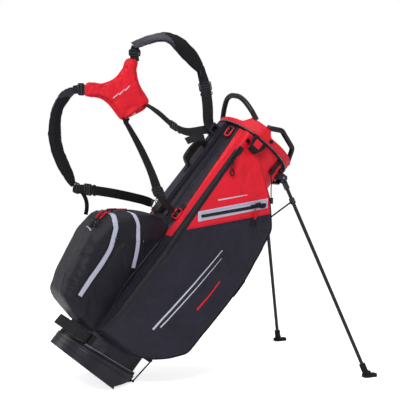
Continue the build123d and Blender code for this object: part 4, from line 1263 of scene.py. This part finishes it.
def back_pad():
    """The four-cornered pad between the straps."""
    outline = PAD_OUTLINE
    middle = tuple(sum(p[i] for p in outline) / len(outline) for i in (0, 1))
    for _ in range(2):
        rounded = []
        for (ax, az), (bx, bz) in zip(outline, outline[1:] + outline[:1]):
            rounded += [(0.82 * ax + 0.18 * bx, 0.82 * az + 0.18 * bz),
                (0.18 * ax + 0.82 * bx, 0.18 * az + 0.82 * bz)]
        outline = rounded

    def drawn_in(share, y):
        """The outline moved towards the middle by a share of its distance."""
        return [flo(x + (middle[0] - x) * share, y, z + (middle[1] - z) * share) for x, z in outline]

    n = len(outline)
    faces = [tuple(range(n)), tuple(range(2 * n - 1, n - 1, -1)), *band(2, n)]
    verts = drawn_in(0.015, -3.6) + drawn_in(0.015, 3.6)
    obj = bpy.data.objects.new("back_pad_puffed", new_mesh("back_pad_puffed", verts, faces))
    scene.collection.objects.link(obj)
    puff(obj, voxel=0.004, pressure=5.0, cap=0.008)
    mesh = obj.data
    for v in mesh.vertices:
        x, z = v.co.x * 1000 + CENTRE_X, v.co.z * 1000
        depth = 1.8 * crease_depth(BACK_CREASES, x, z) + 0.5 + 0.6 * wave_at(x * 0.05, 0, z * 0.05, 9.0)
        if abs(v.co.y) > 0.003:
            kept = max(0.0016, abs(v.co.y) - min(0.0045, max(0.0, depth) / 1000))
            v.co.y = math.copysign(kept, v.co.y)
    mesh.update()
    mesh.materials.append(M["red_pad"])
    mesh.shade_smooth()
    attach(obj, "root")
    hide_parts("back_pad")
    skin = Skin(obj)
    rim = [skin.at(p)[0] for p in drawn_in(-0.05, 0)]
    tube("back_pad_piping", even(rim + rim[:1], 0.006)[:-1], 0.0016, "red_pad", sides=8, closed=True)
    for s, tag in ((-1, "near"), (1, "far")):
        inset = drawn_in(0.10, s * 20)
        stitches(f"back_pad_stitch_{tag}", skin, [inset + inset[:1]], "red_thread", per=2, slot="red_pad")
    for k, (x, z) in enumerate(((44, 830), (62, 842), (80, 854))):
        path = [flo(x - 8, -20, z - 6), flo(x, -20, z + 2), flo(x + 8, -20, z + 10)]
        applique(f"back_pad_mark_{k}", skin, path, (0.0034, 0.0022), 0.0006, "silver_print", step=0.004)


back_pad()

WEB_UPPER = (((320, 11, 926), (0.84, 0.31, 0.44)), ((325.5, 12, 908), (0.9, 0.2, 0.3)),
    ((336, 10, 868), (1, -0.1, 0.1)), ((342, 6, 812), (1, -0.2, 0)), ((343, 4, 770), (1, -0.1, 0)),
    ((346, 3, 752), (1, 0, 0)), ((351, 2, 742), (1, 0.1, 0)))
WEB_LOWER = (((-70, 31, 572), (0.2, 0.5, 1)), ((-60, 33, 563), (0.2, 0.5, 1)), ((-26, 42, 560), (0.2, 0.3, 1)),
    ((60, 62, 546), (0.1, 0.1, 1)), ((150, 84, 526), (0.1, 0.1, 1)), ((182, 91, 516), (0.1, 0.1, 1)),
    ((196, 90, 510), (0.1, 0.1, 1)))
WEB_CROSS_UPPER = (((134, -1, 812), (0.5, 0.6, 0.5)), ((146, -4, 806), (0.5, 0.8, 0.3)),
    ((178, -10, 784), (0.4, 0.8, 0.6)), ((222, -14, 748), (0.2, 0.8, 0.8)), ((268, -10, 730), (0, 0.7, 1)),
    ((322, -4, 736), (0, 0.7, 1)), ((340, -2, 740), (0, 0.7, 1)))
WEB_CROSS_LOWER = (((78, -1, 770), (1, 0.3, 0)), ((77, -3, 757), (0.9, 0.7, 0)),
    ((84, -16, 738), (0.9, 0.7, 0.2)), ((110, -36, 680), (0.9, 0.5, 0.3)), ((134, -60, 612), (0.9, 0.4, 0.3)),
    ((146, -84, 556), (0.9, 0.4, 0.3)), ((158, -97, 528), (0.8, 0.6, 0.2)), ((176, -97, 510), (0.8, 0.6, 0.2)),
    ((192, -92, 502), (0.8, 0.6, 0.2)))
TAIL_LOWER = (((-60, 34, 560), (0.6, 0.8, 0)), ((-44, 36, 549), (0.9, 0.8, 0)), ((-34, 35, 530), (1, 0.8, 0)),
    ((-32, 34, 508), (1, 0.8, 0)), ((-36, 33, 487), (1, 0.8, 0)))
TAIL_UPPER = (((314, -34, 712), (0, 0.6, 1)), ((286, -36, 712), (0, 0.6, 1)), ((254, -36, 702), (0, 0.6, 1)))


def web(name, node, stations, width, last=None, thick=0.0024):
    """A strap through (place, broad direction) stations; width in millimetres, one or one per station."""
    widths = list(width) if isinstance(width, tuple) else [width] * len(stations)
    widths[-1] = last or widths[-1]
    rows = [(flo(*p), d, w / 1000) for (p, d), w in zip(stations, widths)]
    return ribbon(name, rows, thick, "webbing", replaces=[node] if node else ())


web("web_upper_strap", "web_upper", WEB_UPPER, 33)
web("web_lower_strap", "web_lower", WEB_LOWER, 28, 23)
web("web_cross_upper_strap", "web_cross_upper", WEB_CROSS_UPPER, 30)
web("web_cross_lower_strap", "web_cross_lower", WEB_CROSS_LOWER, (27, 27, 27, 28, 29, 34, 34, 30, 18))
web("tail_lower_strap", "strap_tails", TAIL_LOWER, 19)
web("tail_upper_strap", None, TAIL_UPPER, 23)

# ---- buckles and glides -----------------------------------------------------------------
def loop_points(centre, along, across, long, wide, corner):
    """Closed rounded rectangle of points."""
    out = []
    for cx, cy, start in ((1, 1, 0), (-1, 1, 90), (-1, -1, 180), (1, -1, 270)):
        for k in range(5):
            a = math.radians(start + 90 * k / 4)
            u = cx * (long / 2 - corner) + corner * math.cos(a)
            v = cy * (wide / 2 - corner) + corner * math.sin(a)
            out.append(centre + along * u + across * v)
    return out


def ladder_lock(name, centre, ahead, broad, wide, long, bars=(0.0,), gauge=0.0019, node=None):
    """A rounded frame with bars across it, at shares of its length from the middle."""
    broad = square(broad, ahead)
    parts = [tube_mesh(loop_points(centre, ahead, broad, long, wide, 0.003), gauge, 8, closed=True)]
    for share in bars:
        at = centre + ahead * share * long
        parts.append(tube_mesh([at - broad * wide / 2, at + broad * wide / 2], gauge * 0.9, 8))
    build(name, *gather(parts), "plastic", replaces=[node] if node else ())


def along_route(stations, index):
    """Place, direction and broad direction at one of a strap's stations."""
    here = flo(*stations[index][0])
    ahead = flo(*stations[min(index + 1, len(stations) - 1)][0]) - flo(*stations[max(index - 1, 0)][0])
    return here, ahead.normalized(), Vector(stations[index][1]).normalized()


GLIDES = ((WEB_UPPER, 2, 0.038, "tri_glides"), (WEB_LOWER, 2, 0.032, None), (WEB_CROSS_LOWER, 5, 0.038, None),
    (WEB_CROSS_UPPER, 3, 0.035, None))
for k, (route, index, wide, node) in enumerate(GLIDES):
    here, ahead, broad = along_route(route, index)
    ladder_lock(f"glide_{k}", here, ahead, broad, wide, 0.024, bars=(-0.16, 0.16), node=node)
    ladder_lock(f"glide_keeper_{k}", here + ahead * 0.022, ahead, broad, wide * 0.98, 0.009, bars=(),
        gauge=0.0015)

web("pad_link_upper", None, (((106, -2, 934), (1, -0.1, 0)), ((104, -3, 948), (1, -0.1, 0)),
    ((104, -4, 962), (1, -0.1, 0)), ((107, -4, 978), (1, 0.2, 0.2))), 26)
web("pad_link_lower", None, (((-38, 0, 848), (0.1, 0.1, 1)), ((-52, 0, 849), (0.1, 0.1, 1)),
    ((-64, 1, 849), (0.2, 0.2, 1)), ((-78, 3, 847), (0.4, 0.3, 0.8))), 26)
for name, place, ahead, broad, wide, long, gauge, node in (
        ("pad_lock_upper", (104, -5, 959), (0, 0, 1), (1, -0.1, 0), 0.031, 0.016, 0.0026, "pad_buckles"),
        ("pad_lock_lower", (-57, -2, 849), (1, 0, 0), (0.1, 0.1, 1), 0.031, 0.016, 0.0026, None),
        ("pad_link_lock_low", (-64, 32, 566), (1, 0.2, -0.4), (0.2, 0.5, 1), 0.032, 0.018, 0.0021, None),
        ("pad_link_lock_high", (325, 12, 909), (0.25, 0, -1), (0.6, 0.8, 0), 0.032, 0.018, 0.0021, None)):
    ladder_lock(name, flo(*place), Vector(ahead).normalized(), Vector(broad), wide, long, gauge=gauge,
        node=node)
ring_ahead = (flo(204, 90, 505) - flo(194, 90, 510)).normalized()
end_ring = loop_points(flo(198, 90, 508), ring_ahead, Vector((0.1, 0.1, 1)), 0.014, 0.026, 0.005)
tube("lower_strap_ring", end_ring, 0.0018, "steel", sides=8, closed=True)
web("anchor_drop", None, (((345, 2, 760), (1, 0.1, 0)), ((346, -6, 748), (1, 0.1, 0.1)),
    ((349, -12, 738), (1, 0.1, 0.2)), ((352, -10, 728), (1, 0.1, 0.2))), (30, 31, 31, 30), thick=0.0026)

# ---- zip pulls --------------------------------------------------------------------------
def zip_pull(name, body, top, split, low, loop_centre, facing, mat="red_cord"):
    """Red cord doubled from a slider to a rubber loop."""
    side = facing.cross((low - top).normalized()).normalized()
    parts = []
    for s in (-1, 1):
        route = spline([top, top + (split - top) * 0.5 + side * 0.0012 * s, split + side * 0.0036 * s,
            low + side * 0.0016 * s], 5)
        parts.append(tube_mesh([Vector(p) + facing * 0.0014 for p in route], 0.0015, 7))
    build(f"{name}_cord", *gather(parts), mat, body=body, slot="red_fabric")
    knot = [Vector(p) for p in spline([split - side * 0.004, split + facing * 0.002, split + side * 0.004], 4)]
    tube(f"{name}_wrap", knot, 0.0017, mat, sides=8, body=body, slot="red_fabric")
    down = (loop_centre - low).normalized()
    ring = [loop_centre + down * (0.0095 * u) + side * (0.0062 * v) + facing * 0.0016 for u, v in circle(20)]
    tube(f"{name}_loop", ring, 0.0021, "piping", sides=8, closed=True, body=body, slot="black_plastic")
    tube(f"{name}_neck", [low - down * 0.003 + facing * 0.0014, low + down * 0.003 + facing * 0.0016], 0.0026,
        "piping", sides=8, body=body, slot="black_plastic")


zip_pull("pull_valuables", "slider_valuables", on_face(-1, 70, 660, 8), on_face(-1, 84, 650, 5),
    on_face(-1, 90, 634, 4), on_face(-1, 98, 622, 4), turn(0, -1, 0.09))
# The apparel pulls' cords take the darker red stitching colour instead of the red cord's: painted shade, the same
# cord darkened where it lies on the red cloth.
for sign, name in ((-1, "right"), (1, "left")):
    zip_pull(f"pull_apparel_{name}", f"slider_apparel_{name}", on_face(sign, -72, 728, 7),
        on_face(sign, -64, 716, 4), on_face(sign, -60, 704, 3), on_face(sign, -54, 696, 3), turn(0, sign, 0.09),
        "red_thread")
BALL_PULLS = (((-244, -48, 392), (-257, -56, 374), (-261, -64, 352), (-259, -69, 336)),
    ((-249, -26, 391), (-261, -36, 370), (-264, -43, 347), (-265, -50, 329)),
    ((-206, -34, 430), (-220, -32, 418), (-232, -30, 407), (-242, -30, 396)))
for k, (top, mid, low, end) in enumerate(BALL_PULLS):
    spots = [skin_ball.at(bag(*p), (0.003, 0.003, 0.005)[k])[0] for p in (top, mid, low, end)]
    facing = skin_ball.at(bag(*mid))[1]
    zip_pull(f"pull_ball_{k}", "root", *spots, facing)
    here = skin_ball.at(bag(*top), 0.0022)[0]
    ahead = (spots[1] - spots[0]).normalized()
    ladder_lock(f"pull_ball_slider_{k}", here, ahead, facing.cross(ahead), 0.008, 0.012, gauge=0.0016)

# ---- grab handle with oval holes --------------------------------------------------------
def grab_plate():
    """The spine's grip, a bevelled outline with five oval holes."""
    curve = bpy.data.curves.new("grab_handle_plate", "CURVE")
    curve.dimensions = "2D"
    curve.fill_mode = "BOTH"
    curve.extrude = 0.0075
    curve.bevel_depth = 0.0018
    curve.bevel_resolution = 3

    def closed(points):
        piece = curve.splines.new("POLY")
        piece.points.add(len(points) - 1)
        for p, (x, z) in zip(piece.points, points):
            p.co = (x / 1000, z / 1000, 0, 1)
        piece.use_cyclic_u = True

    closed(spline([(-129, 642), (-131, 656), (-148, 666), (-155.2, 676), (-157, 700), (-155.2, 724),
        (-148, 742), (-131, 750), (-129, 764), (-128.2, 752), (-128.6, 738), (-138, 731), (-140, 700),
        (-138, 671), (-128.6, 662), (-128.2, 652)], 5, True))
    for k in range(5):
        x, z = -147.6 + 0.8 * abs(k - 2), 674 + 13.4 * k
        closed([(x + 3.7 * u, z + 5.1 * v) for u, v in circle(18)])
    holder = bpy.data.objects.new("grab_handle_curve", curve)
    scene.collection.objects.link(holder)
    mesh = evaluated_mesh(holder)
    bpy.data.objects.remove(holder)
    for v in mesh.vertices:
        v.co = bag(v.co.x * 1000, v.co.z * 1000, v.co.y * 1000)
    bm = opened(mesh)
    weld(bm, 1e-6)
    put_back(bm, mesh)
    mesh.materials.clear()
    add_object("grab_handle_grip", mesh, "satin_plastic", replaces=["grab_handle"], angle=40)


grab_plate()

# ---- base detail ------------------------------------------------------------------------
for k, (height, slope, start, stop) in enumerate(((17.0, 0.0, 116, 244), (41.0, 0.085, 100, 318))):
    rail = ring_path(128.9, height, slope, start, stop, 3)
    tube(f"base_rail_{k}", rail, 0.0012, "satin_plastic", sides=8)

# ---- CAD pieces that stay ---------------------------------------------------------------
KEEP = {
    "base_plastic": ("base_cup", "foot_plate"),
    "steel": ("plate_hinge_pin", "leg_pins", "stay_rods"),
    "wire": ("plate_yoke", "push_rods", "strut_left", "strut_right"),
    "plastic": ("crossheads", "rod_guides", "leg_head_left", "leg_head_right", "leg_clip_left",
        "leg_clip_right", "lift_handle_front", "cord_lock"),
    "leg_paint": ("leg_tube_left", "leg_tube_right"),
    "rubber": ("leg_foot_left", "leg_foot_right"),
    "satin_plastic": ("leg_bracket", "spine", "harness_anchor"),
    "lining": ("divider_grid",),
    "gun_metal": ("slider_valuables", "slider_apparel_left", "slider_apparel_right", "snap_studs"),
}
for mat, nodes in KEEP.items():
    for node in nodes:
        mesh = NODES[node].data
        mesh.materials.clear()
        mesh.materials.append(M[mat])
